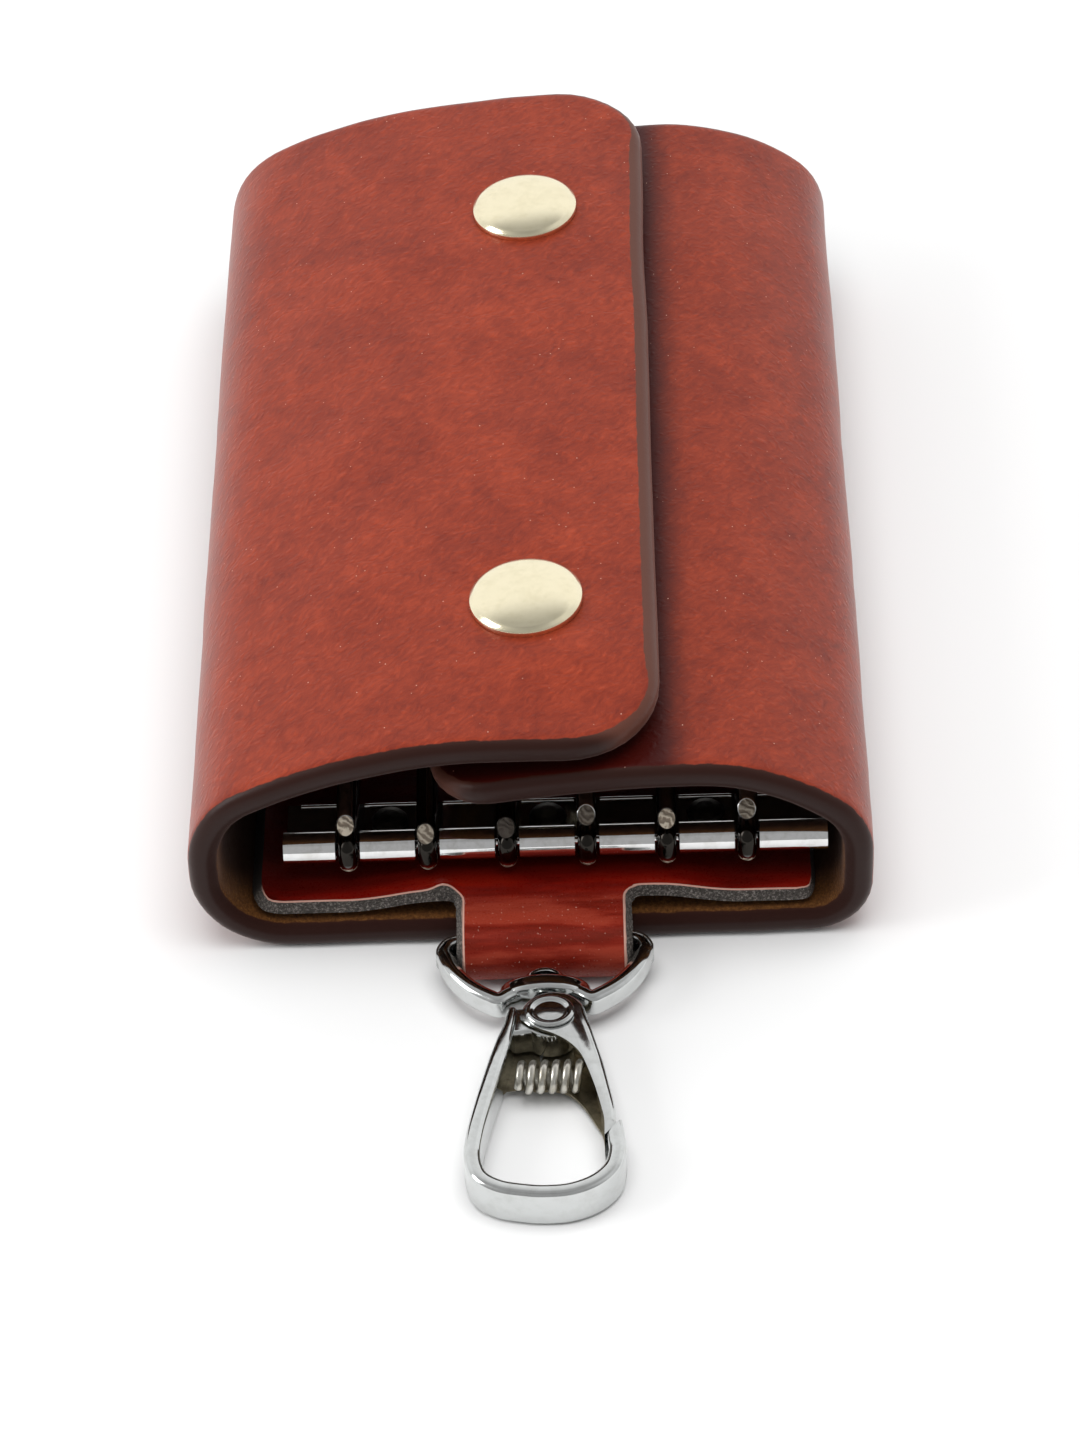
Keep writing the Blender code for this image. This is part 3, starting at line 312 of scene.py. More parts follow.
# Grain, creases and blotches of leather, for places given in millimetres
def makeLeatherGrain():
    tree, given, out = newGroup(
        "leatherGrain",
        [("Place", "NodeSocketVector", None), ("Grain Scale", "NodeSocketFloat", 1.0)],
        [("Height", "NodeSocketFloat"), ("Blotch", "NodeSocketFloat"),
         ("Crease", "NodeSocketFloat"), ("Pore", "NodeSocketFloat"),
         ("Speck", "NodeSocketFloat")])
    bend = put(tree, "ShaderNodeTexNoise", {"Vector": given["Place"], "Scale": 0.35, "Detail": 3.0})
    away = put(tree, "ShaderNodeVectorMath", {0: bend.outputs["Color"], 1: (0.5, 0.5, 0.5)},
               operation="SUBTRACT")
    push = put(tree, "ShaderNodeVectorMath", {0: away.outputs[0]}, operation="SCALE")
    push.inputs["Scale"].default_value = 2.2
    place = put(tree, "ShaderNodeVectorMath", {0: given["Place"], 1: push.outputs[0]}).outputs[0]
    scale = mathOf(tree, "MULTIPLY", given["Grain Scale"], 1.15)
    pebble = put(tree, "ShaderNodeTexVoronoi", {"Vector": place, "Scale": scale},
                 feature="SMOOTH_F1")
    pebble.inputs["Smoothness"].default_value = 0.6
    fine = noiseOf(tree, place, scale=2.6, detail=4.0)
    wide = noiseOf(tree, given["Place"], scale=0.11, detail=6.0, roughness=0.62, distortion=0.4)
    near = noiseOf(tree, place, scale=0.45, detail=5.0, roughness=0.6)
    slanted = put(tree, "ShaderNodeMapping", {"Vector": place, "Rotation": (0.0, 0.0, 0.8),
                                              "Scale": (1.5, 0.5, 1.5)}, vector_type="TEXTURE")
    fibres = noiseOf(tree, slanted.outputs[0], scale=1.0, detail=5.0, roughness=0.7)
    blotch = mathOf(tree, "MULTIPLY_ADD", wide, 0.34, mathOf(tree, "MULTIPLY", near, 0.22))
    blotch = mathOf(tree, "MULTIPLY_ADD", fibres, 0.44, blotch)
    turned = put(tree, "ShaderNodeMapping", {"Vector": place, "Rotation": (0.0, 0.0, 0.6),
                                             "Scale": (0.17, 0.3, 0.2)})
    lines = put(tree, "ShaderNodeTexVoronoi", {"Vector": turned.outputs[0], "Scale": 1.0},
                feature="DISTANCE_TO_EDGE")
    thin = rangeOf(tree, lines.outputs["Distance"], 0.0, 0.055, 1.0, 0.0)
    crease = mathOf(tree, "MULTIPLY", thin, rangeOf(tree, wide, 0.46, 0.62))
    pore = rangeOf(tree, pebble.outputs["Distance"], 0.1, 0.5)
    dust = put(tree, "ShaderNodeTexVoronoi", {"Vector": given["Place"], "Scale": 0.7})
    speck = rangeOf(tree, dust.outputs["Distance"], 0.02, 0.06, 1.0, 0.0)
    height = mathOf(tree, "SUBTRACT", mathOf(tree, "MULTIPLY", pore, -0.55),
                    mathOf(tree, "MULTIPLY", crease, 0.35))
    height = mathOf(tree, "MULTIPLY_ADD", fine, 0.5, height)
    for label, value in (("Height", height), ("Blotch", blotch), ("Crease", crease),
                         ("Pore", pore), ("Speck", speck)):
        tree.links.new(value, out[label])
    return tree


leatherGrain = makeLeatherGrain()


# The hide: one thick blank, folded round the keys; bends are (radius, turn), runs (length, 0)
hide = {
    "length": 110.0,
    "thick": 3.0,
    "leftRuns": ((24.8, 0), (9.5, 90), (2.0, 0), (10.7, 64), (58.6, 16.5), (109.0, 13.5)),
    "rightRuns": ((27.6, 0), (6.5, 90), (4.2944, 0), (9.0, 50), (23.3, 40), (120.0, 11), (3.3, 0)),
    "frontCorner": 9.5,
    "innerCorner": 7.0,
    "edgeRound": 1.3,
    "foldStep": 1.2,
    "rowStep": 2.2,
    "wander": 0.3,          # how far the cut edges stray
    "lump": 0.12,           # slow rise and fall of the surface
    "leftSplit": 40.72,     # where the pieces meet, in the straight part of each side
    "rightSplit": -39.96,
    "sag": 0.8,             # how far the front flap's near edge hangs down, right of the middle
    "sagPlace": 5.0,
    "sagWidth": 8.5,
    "sagRows": (40.0, 54.0),
    "color": (0.215, 0.026, 0.009),
    "dark": (0.130, 0.014, 0.006),
    "light": (0.31, 0.042, 0.014),
    "flapShadow": (0.035, 0.002, 0.001),
    "flapShadowEdge": (-69.2, -65.0),     # painted shadow: the leather is darker where the front flap lies on it
    "dust": (0.60, 0.36, 0.28),
    "paint": (0.085, 0.030, 0.020),        # the edge paint, with painted shade making it darker at the two ends
    "endPaintShade": (0.020, 0.006, 0.004),
    "endShadeReach": (52.8, 54.6),
    "widePaint": (42.0, 50.0),       # between the ends the paint comes this much further round
    "suede": (0.11, 0.043, 0.011),
    "suedeDark": (0.03, 0.010, 0.003),
    "suedeLight": (0.30, 0.13, 0.035),
    "suedeShade": (0.035, 0.014, 0.007),
    "suedeShadeReach": (1.8, 7.0),         # painted shade: how far in the raw border darkens towards the inside
    "capX": 0.1,            # the snaps press the flap in a little
    "capRows": (-33.9, 32.4),
    "capDip": 0.22,
    "capPress": 6.6,        # how far round a cap's middle the dip reaches
    # where the bend of each leaf begins and ends along the hide
    "folds": {"left_side": (26.0, 38.6), "front_flap": (44.2, 57.0),
              "right_side": (-28.4, -37.0), "inner_flap": (-43.5, -54.5)},
}


def runLength(size, turn):
    return size * (math.radians(turn) if turn else 1.0)


def sectionAt(runs, along):
    x, z, heading = 0.0, 0.0, math.pi
    for size, turn in runs:
        step = min(along, runLength(size, turn))
        if turn:
            new = heading - step / size
            x += size * (math.sin(heading) - math.sin(new))
            z += size * (math.cos(new) - math.cos(heading))
            heading = new
        else:
            x += step * math.cos(heading)
            z += step * math.sin(heading)
        along -= step
        if along <= 0:
            return x, z, heading
    return x + along * math.cos(heading), z + along * math.sin(heading), heading


def onHide(s, y, depth):
    # s runs along the outer face, left positive; everything in millimetres until the end
    x, z, heading = sectionAt(hide["leftRuns" if s >= 0 else "rightRuns"], abs(s))
    side = 1.0 if s >= 0 else -1.0
    return Vector((side * (x + depth * math.sin(heading)), y,
                   z - depth * math.cos(heading))) * mm


def alongFor(x):
    # how far along the outer face the front flap reaches this place
    low = sum(runLength(*run) for run in hide["leftRuns"][:4])
    high = sum(runLength(*run) for run in hide["leftRuns"])
    for _ in range(40):
        middle = (low + high) / 2
        if onHide(middle, 0, 0).x / mm < x:
            low = middle
        else:
            high = middle
    return low


def insideBy(s, y, last, first, half):
    # distance in from the blank's rounded outline
    radius = hide["frontCorner"] if s > 0 else hide["innerCorner"]
    over = abs(s - (last + first) / 2) - (last - first) / 2 + radius
    past = abs(y) - half + radius
    return radius - math.hypot(max(over, 0), max(past, 0)) - min(max(over, past), 0)


def hideBlank():
    last = sum(runLength(*run) for run in hide["leftRuns"])
    first = -sum(runLength(*run) for run in hide["rightRuns"])
    half = hide["length"] / 2
    bm = bmesh.new()
    bmesh.ops.create_grid(bm, x_segments=1, y_segments=1, size=0.5)
    bmesh.ops.scale(bm, vec=(last - first, 2 * half, 1.0), verts=bm.verts)
    bmesh.ops.translate(bm, vec=((last + first) / 2, 0.0, 0.0), verts=bm.verts)
    for left, radius in ((True, hide["frontCorner"]), (False, hide["innerCorner"])):
        corners = [v for v in bm.verts if (v.co.x > 0) == left]
        bmesh.ops.bevel(bm, geom=corners, offset=radius, segments=9, profile=0.5,
                        affect="VERTICES", material=-1)
    raiseFaces(bm, bm.faces[:], (0, 0, hide["thick"]))
    softenRim(bm, hide["edgeRound"], 5)
    cutAlong(bm, evenSteps(first, last, hide["foldStep"]), (1, 0, 0))
    cutAlong(bm, evenSteps(-half, half, hide["rowStep"]), (0, 1, 0))
    return bm, first, last, half


def foldHide(bm, first, last, half):
    flat = bm.verts.layers.float_vector.new("flatPlace")
    inside = bm.verts.layers.float.new("inside")
    cap = alongFor(hide["capX"])
    for vert in bm.verts:
        s, y, depth = vert.co
        vert[flat] = (s, y, depth)
        vert[inside] = insideBy(s, y, last, first, half)
        stray = noise.noise(Vector((s * 0.055, y * 0.055, 2.0)))
        drift = noise.noise(Vector((s * 0.09, y * 0.09, 9.0)))
        rise = (noise.noise(Vector((s * 0.08, y * 0.08, 5.0)))
                + 0.4 * noise.noise(Vector((s * 0.25, y * 0.25, 1.0))))
        dip = sum(math.exp(-(math.hypot(s - cap, y - row) / hide["capPress"]) ** 6)
                  for row in hide["capRows"])
        dip *= hide["capDip"] * (1 - depth / hide["thick"])
        if s > 0:
            dip += (hide["sag"] * math.exp(-((s - cap - hide["sagPlace"]) / hide["sagWidth"]) ** 2)
                    * (1 - fadeOut(-y, *hide["sagRows"])))
        vert.co = onHide(s - hide["wander"] * abs(stray) * (1 if s > 0 else -1),
                         y - hide["wander"] * abs(drift) * (1 if y > 0 else -1),
                         depth + dip + hide["lump"] * (0.3 + rise))


def makeHideLeather():
    material, tree, shader = newMaterial("hideLeather")
    place = put(tree, "ShaderNodeAttribute", attribute_name="flatPlace").outputs["Vector"]
    inward = put(tree, "ShaderNodeAttribute", attribute_name="inside").outputs["Fac"]
    flat = put(tree, "ShaderNodeSeparateXYZ", {"Vector": place}).outputs
    depth = flat["Z"]
    grain = useGroup(tree, leatherGrain, {"Place": place})
    color = rampOf(tree, grain["Blotch"], ((0.37, hide["dark"]), (0.5, hide["color"]),
                                           (0.63, hide["light"])))
    color = mixColor(tree, mathOf(tree, "MULTIPLY", grain["Crease"], 0.12), color, hide["light"])
    color = mixColor(tree, mathOf(tree, "MULTIPLY", grain["Pore"], 0.22), color, hide["dark"])
    # painted shadow under the front flap: the inner flap's leather goes dark where the flap covers
    # it
    flapShadow = rangeOf(tree, flat["X"], *hide["flapShadowEdge"], 1.0, 0.0)
    color = mixColor(tree, flapShadow, color, hide["flapShadow"])
    color = mixColor(tree, grain["Speck"], color, hide["dust"])
    ragged = noiseOf(tree, place, scale=0.8, detail=3.0)
    border = mathOf(tree, "MULTIPLY_ADD", ragged, 0.35, inward)
    wider = rangeOf(tree, mathOf(tree, "ABSOLUTE", flat["Y"]), *hide["widePaint"], 0.7, 0.0)
    rim = rangeOf(tree, mathOf(tree, "SUBTRACT", border, wider), 0.95, 1.1, 1.0, 0.0)
    back = rangeOf(tree, depth, 1.6, 2.2)
    wideRim = rangeOf(tree, mathOf(tree, "MULTIPLY_ADD", ragged, 0.5, inward),
                      0.45, 0.6, 1.0, 0.0)
    nap = noiseOf(tree, place, scale=3.5, detail=8.0, roughness=0.75)
    napColor = rampOf(tree, nap, ((0.3, hide["suedeDark"]), (0.55, hide["suede"]),
                                  (0.8, hide["suedeLight"])))
    # painted shade: the suede darkens away from the border, into the shaded inside of the case
    napColor = mixColor(tree, rangeOf(tree, inward, *hide["suedeShadeReach"]), napColor,
                        hide["suedeShade"])
    color = mixColor(tree, back, color, napColor)
    paintPart = mathOf(tree, "MAXIMUM", rim, mathOf(tree, "MULTIPLY", back, wideRim))
    fromMiddle = mathOf(tree, "ABSOLUTE", flat["Y"])
    # edge paint, with painted shade on the rims at the two ends
    paint = mixColor(tree, rangeOf(tree, fromMiddle, *hide["endShadeReach"]), hide["paint"],
                     hide["endPaintShade"])
    color = mixColor(tree, paintPart, color, paint)
    rough = mathOf(tree, "MULTIPLY_ADD", grain["Blotch"], 0.22, 0.26)
    rough = mathOf(tree, "MULTIPLY_ADD", back, 0.5, rough)
    tree.links.new(color, shader["Base Color"])
    tree.links.new(rough, shader["Roughness"])
    height = mathOf(tree, "MULTIPLY", grain["Height"],
                    mathOf(tree, "SUBTRACT", 1.0, mathOf(tree, "MULTIPLY", paintPart, 0.8)))
    height = mathOf(tree, "MULTIPLY_ADD", nap, mathOf(tree, "MULTIPLY", back, 1.5), height)
    tree.links.new(bumpOf(tree, height, 0.6, 0.06), shader["Normal"])
    shader["Specular IOR Level"].default_value = 0.18
    shader["Sheen Weight"].default_value = 0.14
    shader["Sheen Roughness"].default_value = 0.35
    shader["Sheen Tint"].default_value = (1.0, 0.72, 0.66, 1.0)
    return material


hideLeather = makeHideLeather()


def makeHide():
    blank, first, last, half = hideBlank()
    parts = [("hideFront", hide["leftSplit"], last, "left_side", "front_flap",
              ("front_flap_panel",)),
             ("hideLeft", 0.0, hide["leftSplit"], "case_back", "left_side",
              ("left_side_panel", "back_panel")),
             ("hideRight", hide["rightSplit"], 0.0, "case_back", "right_side",
              ("right_side_panel", "back_panel")),
             ("hideInner", first, hide["rightSplit"], "right_side", "inner_flap",
              ("inner_flap_panel",))]
    for name, low, high, near, far, nodes in parts:
        bm = blank.copy()
        for place, side in ((low, -1), (high, 1)):
            if first < place < last:
                found = bmesh.ops.bisect_plane(
                    bm, geom=bm.verts[:] + bm.edges[:] + bm.faces[:], plane_co=(place, 0, 0),
                    plane_no=(side, 0, 0), clear_outer=True)
                edges = [e for e in found["geom_cut"] if isinstance(e, bmesh.types.BMEdge)]
                bmesh.ops.contextual_create(bm, geom=edges)
        foldHide(bm, first, last, half)
        item = finishPiece(name, bm, [hideLeather], 60.0)
        start, end = hide["folds"][far]
        onHide(start, 0, 0)
        onHide(end, 0, 0)
        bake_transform(item)
        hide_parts(*nodes)
    blank.free()


makeHide()
print("hide folded")


# The liner with its strap, cut from one piece; the strap loops round the bail and tucks back under
liner = {
    "thick": 1.7,
    "strapThick": 1.5,
    "left": -31.0,
    "right": 29.4,
    "setback": 1.1,
    "corner": 3.0,
    "strapX": 1.05,
    "strapWidth": 16.2,
    "fillet": 1.5,
    "overlap": 5.0,        # the strap's path starts this far in from the near edge
    "strapHeight": 5.85,
    "strapPath": ((9.85, 0), (2.55, -240), (1.4722, 0), (1.5, 60), (22.0, 0)),
    "base": 3.5,
    "lift": 1.45,          # the strap pulls the liner up round its root
    "liftAcross": 20.0,
    "liftAlong": (10.0, 30.0),
    "edgeLift": 0.35,      # the cut edge curls up a little
    "edgeLiftAcross": 14.0,
    "edgeLiftAlong": (2.0, 9.0),
    "wander": 0.12,
    "nub": 0.8,            # the pinched corner beside the strap
    "nubPlace": 1.9,
    "edgeRound": 0.18,
    "columnStep": 0.5,
    "fineRow": 0.6,        # closer rows along the strap and for a short reach past its root
    "fineReach": 6.0,
    "slant": 0.75,         # how far the strap's cut sides slope outwards
    "color": (0.17, 0.004, 0.0015),
    "bright": (0.30, 0.010, 0.002),
    "dark": (0.055, 0.002, 0.001),
    "worn": (0.25, 0.040, 0.022),       # the strap, rubbed by the clasp
    "glint": (0.55, 0.33, 0.27),
    "strapShade": (-56.5, -53.5),
    "plateShade": (-53.8, -51.2),       # and darker under the key plate
    "fibre": (0.070, 0.060, 0.053),     # the raw cut edge
    "fibreDark": (0.012, 0.010, 0.010),
    "fibreLight": (0.45, 0.40, 0.36),
    "cutLip": (0.70, 0.40, 0.32),       # the torn finish along the top of the cut
}


def linerLift(x, y):
    aside = abs(x - liner["strapX"])
    inwards = y + hide["length"] / 2
    half = liner["strapWidth"] / 2
    return (liner["lift"] * fadeOut(aside, half + 1.0, liner["liftAcross"])
            * fadeOut(inwards, *liner["liftAlong"])
            + liner["edgeLift"] * fadeOut(inwards, *liner["edgeLiftAlong"])
            * (1 - fadeOut(aside, half, liner["edgeLiftAcross"])))


def strapAt(along):
    # place and heading on the middle of the strap, from where it leaves the liner's edge
    y = -hide["length"] / 2 + liner["setback"] + liner["overlap"]
    z, heading = liner["strapHeight"], math.pi
    left = along + liner["overlap"]
    for size, turn in liner["strapPath"]:
        step = min(left, size * abs(math.radians(turn)) if turn else size)
        if turn:
            bend = math.copysign(step / size, turn)
            radius = math.copysign(size, turn)
            new = heading - bend
            y += radius * (math.sin(heading) - math.sin(new))
            z += radius * (math.cos(new) - math.cos(heading))
            heading = new
        else:
            y += step * math.cos(heading)
            z += step * math.sin(heading)
        left -= step
        if left <= 0:
            break
    return y, z, heading


def onLiner(x, y, depth):
    edge = -hide["length"] / 2 + liner["setback"]
    if y >= edge:
        point = onHide(-x, y, liner["base"] + depth)
        point.z += linerLift(point.x / mm, y) * mm
        return point
    past = edge - y
    thin = fadeOut(past, 0.0, 3.0)
    thick = liner["strapThick"] + (liner["thick"] - liner["strapThick"]) * thin
    py, pz, heading = strapAt(past)
    up = (depth / liner["thick"] - 0.5) * thick
    return Vector((x, py + math.sin(heading) * up,
                   pz - math.cos(heading) * up - 0.15 * thin)) * mm


def linerBlank():
    edge = -hide["length"] / 2 + liner["setback"]
    half = liner["strapWidth"] / 2
    strapLength = sum(size * abs(math.radians(turn)) if turn else size
                      for size, turn in liner["strapPath"]) - liner["overlap"]
    bm = bmesh.new()
    bmesh.ops.create_grid(bm, x_segments=1, y_segments=1, size=0.5)
    bmesh.ops.scale(bm, vec=(liner["right"] - liner["left"], -2 * edge, 1.0), verts=bm.verts)
    bmesh.ops.translate(bm, vec=((liner["right"] + liner["left"]) / 2, 0, 0), verts=bm.verts)
    cutAlong(bm, (liner["strapX"] - half, liner["strapX"] + half), (1, 0, 0))
    mouth = [e for e in bm.edges if all(abs(v.co.y - edge) < 0.01 for v in e.verts)
             and abs(sum(v.co.x for v in e.verts) / 2 - liner["strapX"]) < 1.0]
    pulled = bmesh.ops.extrude_edge_only(bm, edges=mouth)
    verts = [v for v in pulled["geom"] if isinstance(v, bmesh.types.BMVert)]
    bmesh.ops.translate(bm, verts=verts, vec=(0, -strapLength, 0))
    bmesh.ops.dissolve_faces(bm, faces=bm.faces[:], use_verts=False)
    corners = [v for v in bm.verts if abs(v.co.x) > half + 2]
    bmesh.ops.bevel(bm, geom=corners, offset=liner["corner"], segments=5, profile=0.5,
                    affect="VERTICES", material=-1)
    joints = [v for v in bm.verts if abs(v.co.y - edge) < 0.01
              and abs(abs(v.co.x - liner["strapX"]) - half) < 0.01]
    bmesh.ops.bevel(bm, geom=joints, offset=liner["fillet"], segments=5, profile=0.5,
                    affect="VERTICES", material=-1)
    raiseFaces(bm, bm.faces[:], (0, 0, liner["thick"]))
    softenRim(bm, liner["edgeRound"], 2)
    fine = liner["fineRow"]
    reach = liner["fineReach"]
    cutAlong(bm, evenSteps(liner["left"], liner["right"], liner["columnStep"]), (1, 0, 0))
    cutAlong(bm, evenSteps(edge + reach, -edge, hide["rowStep"]), (0, 1, 0))
    cutAlong(bm, evenSteps(edge - strapLength, edge + reach + fine, fine), (0, 1, 0))
    cutAlong(bm, (liner["thick"] / 3, liner["thick"] * 2 / 3), (0, 0, 1))
    return bm, edge, half


def makeLiner():
    bm, edge, half = linerBlank()
    flat = bm.verts.layers.float_vector.new("flatPlace")
    bm.normal_update()
    for face in bm.faces:
        face.material_index = 0 if face.normal.z > 0.97 else 1
    for vert in bm.verts:
        x, y, depth = vert.co
        vert[flat] = (x, y, depth)
        cutSide = any(abs(f.normal.z) < 0.3 for f in vert.link_faces)
        place = Vector((x * 0.9, y * 0.9, depth * 0.5))
        onStrap = y < edge - 0.5
        if cutSide:
            x += liner["wander"] * (noise.noise(place) + 0.5 * noise.noise(place * 3.1))
            y += liner["wander"] * (1.2 + noise.noise(place + Vector((7, 7, 7)))
                                    + 0.5 * noise.noise(place * 2.7))
        if abs(x - liner["strapX"]) > half + liner["fillet"]:
            y = max(y, edge)
        elif cutSide and onStrap:
            x += math.copysign(liner["slant"] * (1 - depth / liner["thick"]), x - liner["strapX"])
        besideNub = x - liner["strapX"] + half + liner["nubPlace"]
        nub = liner["nub"] * math.exp(-(besideNub ** 2 + (y - edge) ** 2) / 1.2)
        wave = 0.1 * noise.noise(Vector((x * 0.12, y * 0.12, 3.0)))
        vert.co = onLiner(x, y, depth + (nub + wave) * depth / liner["thick"])
    item = finishPiece("linerWithStrap", bm, [linerLeather, rawEdge], 50.0)
    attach(item, "case_back")
    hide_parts("inner_liner")


def makeLinerLeather():
    material, tree, shader = newMaterial("linerLeather")
    place = put(tree, "ShaderNodeAttribute", attribute_name="flatPlace").outputs["Vector"]
    grain = useGroup(tree, leatherGrain, {"Place": place, "Grain Scale": 1.6})
    across = put(tree, "ShaderNodeMapping", {"Vector": place, "Scale": (0.06, 0.42, 0.4)})
    streak = noiseOf(tree, across.outputs[0], scale=1.0, detail=6.0, roughness=0.6)
    color = rampOf(tree, streak, ((0.34, liner["dark"]), (0.5, liner["color"]),
                                  (0.66, liner["bright"])))
    color = mixColor(tree, mathOf(tree, "MULTIPLY", grain["Blotch"], 0.4), color, liner["dark"])
    along = put(tree, "ShaderNodeSeparateXYZ", {"Vector": place}).outputs["Y"]
    strap = rangeOf(tree, along, *liner["strapShade"], 1.0, 0.0)
    wear = rangeOf(tree, streak, 0.42, 0.58, 0.2, 0.72)
    color = mixColor(tree, mathOf(tree, "MULTIPLY", strap, wear), color, liner["worn"])
    under = rangeOf(tree, along, *liner["plateShade"], 0.0, 0.85)
    color = mixColor(tree, under, color, liner["dark"])
    fleck = noiseOf(tree, place, scale=4.5, detail=2.0)
    shine = rangeOf(tree, fleck, 0.5, 0.72)
    # painted glints: light specks in the strap's colour stand in for sparkles of reflected light
    glint = noiseOf(tree, place, scale=3.6, detail=3.0)
    glints = mathOf(tree, "MULTIPLY", rangeOf(tree, glint, 0.66, 0.80), strap)
    color = mixColor(tree, glints, color, liner["glint"])
    rough = mathOf(tree, "SUBTRACT", 0.36, mathOf(tree, "MULTIPLY", shine, 0.14))
    height = mathOf(tree, "MULTIPLY", mathOf(tree, "ADD", grain["Height"], fleck), 0.5)
    tree.links.new(color, shader["Base Color"])
    tree.links.new(rough, shader["Roughness"])
    tree.links.new(bumpOf(tree, height, 0.7, 0.06), shader["Normal"])
    shader["Coat Weight"].default_value = 0.06
    shader["Specular IOR Level"].default_value = 0.16
    shader["Specular Tint"].default_value = (1.0, 0.35, 0.25, 1.0)
    shader["Coat Roughness"].default_value = 0.22
    return material


def makeRawEdge():
    material, tree, shader = newMaterial("rawLeatherEdge")
    place = put(tree, "ShaderNodeAttribute", attribute_name="flatPlace").outputs["Vector"]
    depth = put(tree, "ShaderNodeSeparateXYZ", {"Vector": place}).outputs["Z"]
    fuzz = noiseOf(tree, place, scale=4.2, detail=8.0, roughness=0.8)
    color = rampOf(tree, fuzz, ((0.32, liner["fibreDark"]), (0.52, liner["fibre"]),
                                (0.66, liner["fibreLight"])))
    top = rangeOf(tree, depth, liner["thick"] - 0.22, liner["thick"] - 0.1)
    color = mixColor(tree, mathOf(tree, "MULTIPLY", top, 0.85), color, liner["cutLip"])
    along = put(tree, "ShaderNodeSeparateXYZ", {"Vector": place}).outputs["Y"]
    # painted shade: the cut edge darkens back from the near edge, where its sides lie in shadow;
    # the near edge and the strap stay light
    color = mixColor(tree, rangeOf(tree, along, -53.2, -51.8), color, (0.012, 0.009, 0.008))
    tree.links.new(color, shader["Base Color"])
    tree.links.new(bumpOf(tree, fuzz, 1.0, 0.25), shader["Normal"])
    shader["Roughness"].default_value = 0.95
    return material


linerLeather = makeLinerLeather()
rawEdge = makeRawEdge()
makeLiner()
print("liner and strap placed")


# Plated finishes
def makeMetalWear():
    tree, given, out = newGroup(
        "metalWear",
        [("Place", "NodeSocketVector", None), ("Scale", "NodeSocketFloat", 1.0)],
        [("Haze", "NodeSocketFloat"), ("Height", "NodeSocketFloat"),
         ("Scratch", "NodeSocketFloat")])
    place = put(tree, "ShaderNodeVectorMath", {0: given["Place"]}, operation="SCALE")
    tree.links.new(mathOf(tree, "MULTIPLY", given["Scale"], 1000.0), place.inputs["Scale"])
    haze = noiseOf(tree, place.outputs[0], scale=0.7, detail=5.0, roughness=0.65)
    wave = noiseOf(tree, place.outputs[0], scale=0.45, detail=2.0)
    drawn = put(tree, "ShaderNodeMapping", {"Vector": place.outputs[0],
                                            "Rotation": (0.3, 0.2, 0.7),
                                            "Scale": (9.0, 0.35, 1.2)})
    lines = noiseOf(tree, drawn.outputs[0], scale=1.0, detail=2.0)
    scratch = rangeOf(tree, lines, 0.62, 0.72)
    for label, value in (("Haze", haze), ("Height", wave), ("Scratch", scratch)):
        tree.links.new(value, out[label])
    return tree


metalWear = makeMetalWear()


def makePlating(name, color, stain, smooth, spread, ripple, paintedDarkReflection=None):
    material, tree, shader = newMaterial(name)
    place = put(tree, "ShaderNodeTexCoord").outputs["Object"]
    wear = useGroup(tree, metalWear, {"Place": place})
    tint = mixColor(tree, rangeOf(tree, wear["Haze"], 0.4, 0.75), color, stain)
    # painted dark reflection, where a part's attribute asks for it
    if paintedDarkReflection:
        where = put(tree, "ShaderNodeAttribute", attribute_name="paintedDarkReflection").outputs["Fac"]
        tint = mixColor(tree, where, tint, paintedDarkReflection)
    rough = mathOf(tree, "MULTIPLY_ADD", wear["Haze"], spread, smooth)
    rough = mathOf(tree, "MULTIPLY_ADD", wear["Scratch"], 0.05, rough)
    tree.links.new(tint, shader["Base Color"])
    tree.links.new(rough, shader["Roughness"])
    tree.links.new(bumpOf(tree, wear["Height"], ripple, 0.05), shader["Normal"])
    shader["Metallic"].default_value = 1.0
    return material


chrome = makePlating("chromePlate", (0.64, 0.655, 0.65), (0.57, 0.58, 0.57), 0.06, 0.09, 0.35)
steel = makePlating("platedSteel", (0.82, 0.82, 0.82), (0.68, 0.67, 0.65), 0.05, 0.09, 0.45)
nickel = makePlating("nickelPlate", (0.92, 0.84, 0.61), (0.86, 0.78, 0.55), 0.10, 0.10, 0.25)
springSteel = makePlating("springSteel", (0.68, 0.66, 0.60), (0.45, 0.42, 0.34), 0.24, 0.16, 0.4)
# the last colour is the painted dark reflection on the hooks
hookSteel = makePlating("hookSteel", (0.82, 0.82, 0.82), (0.68, 0.67, 0.65), 0.06, 0.1, 0.45,
                        (0.028, 0.025, 0.022))
# painted dark reflection: the rivets are nearly black, standing in for the dark that the plate
# mirrors under the flap
rivetSteel = makePlating("rivetSteel", (0.10, 0.09, 0.08), (0.05, 0.045, 0.04), 0.35, 0.2, 0.4)
channelShade = makePlating("gateInside", (0.30, 0.26, 0.18), (0.14, 0.12, 0.08), 0.35, 0.2, 0.4)


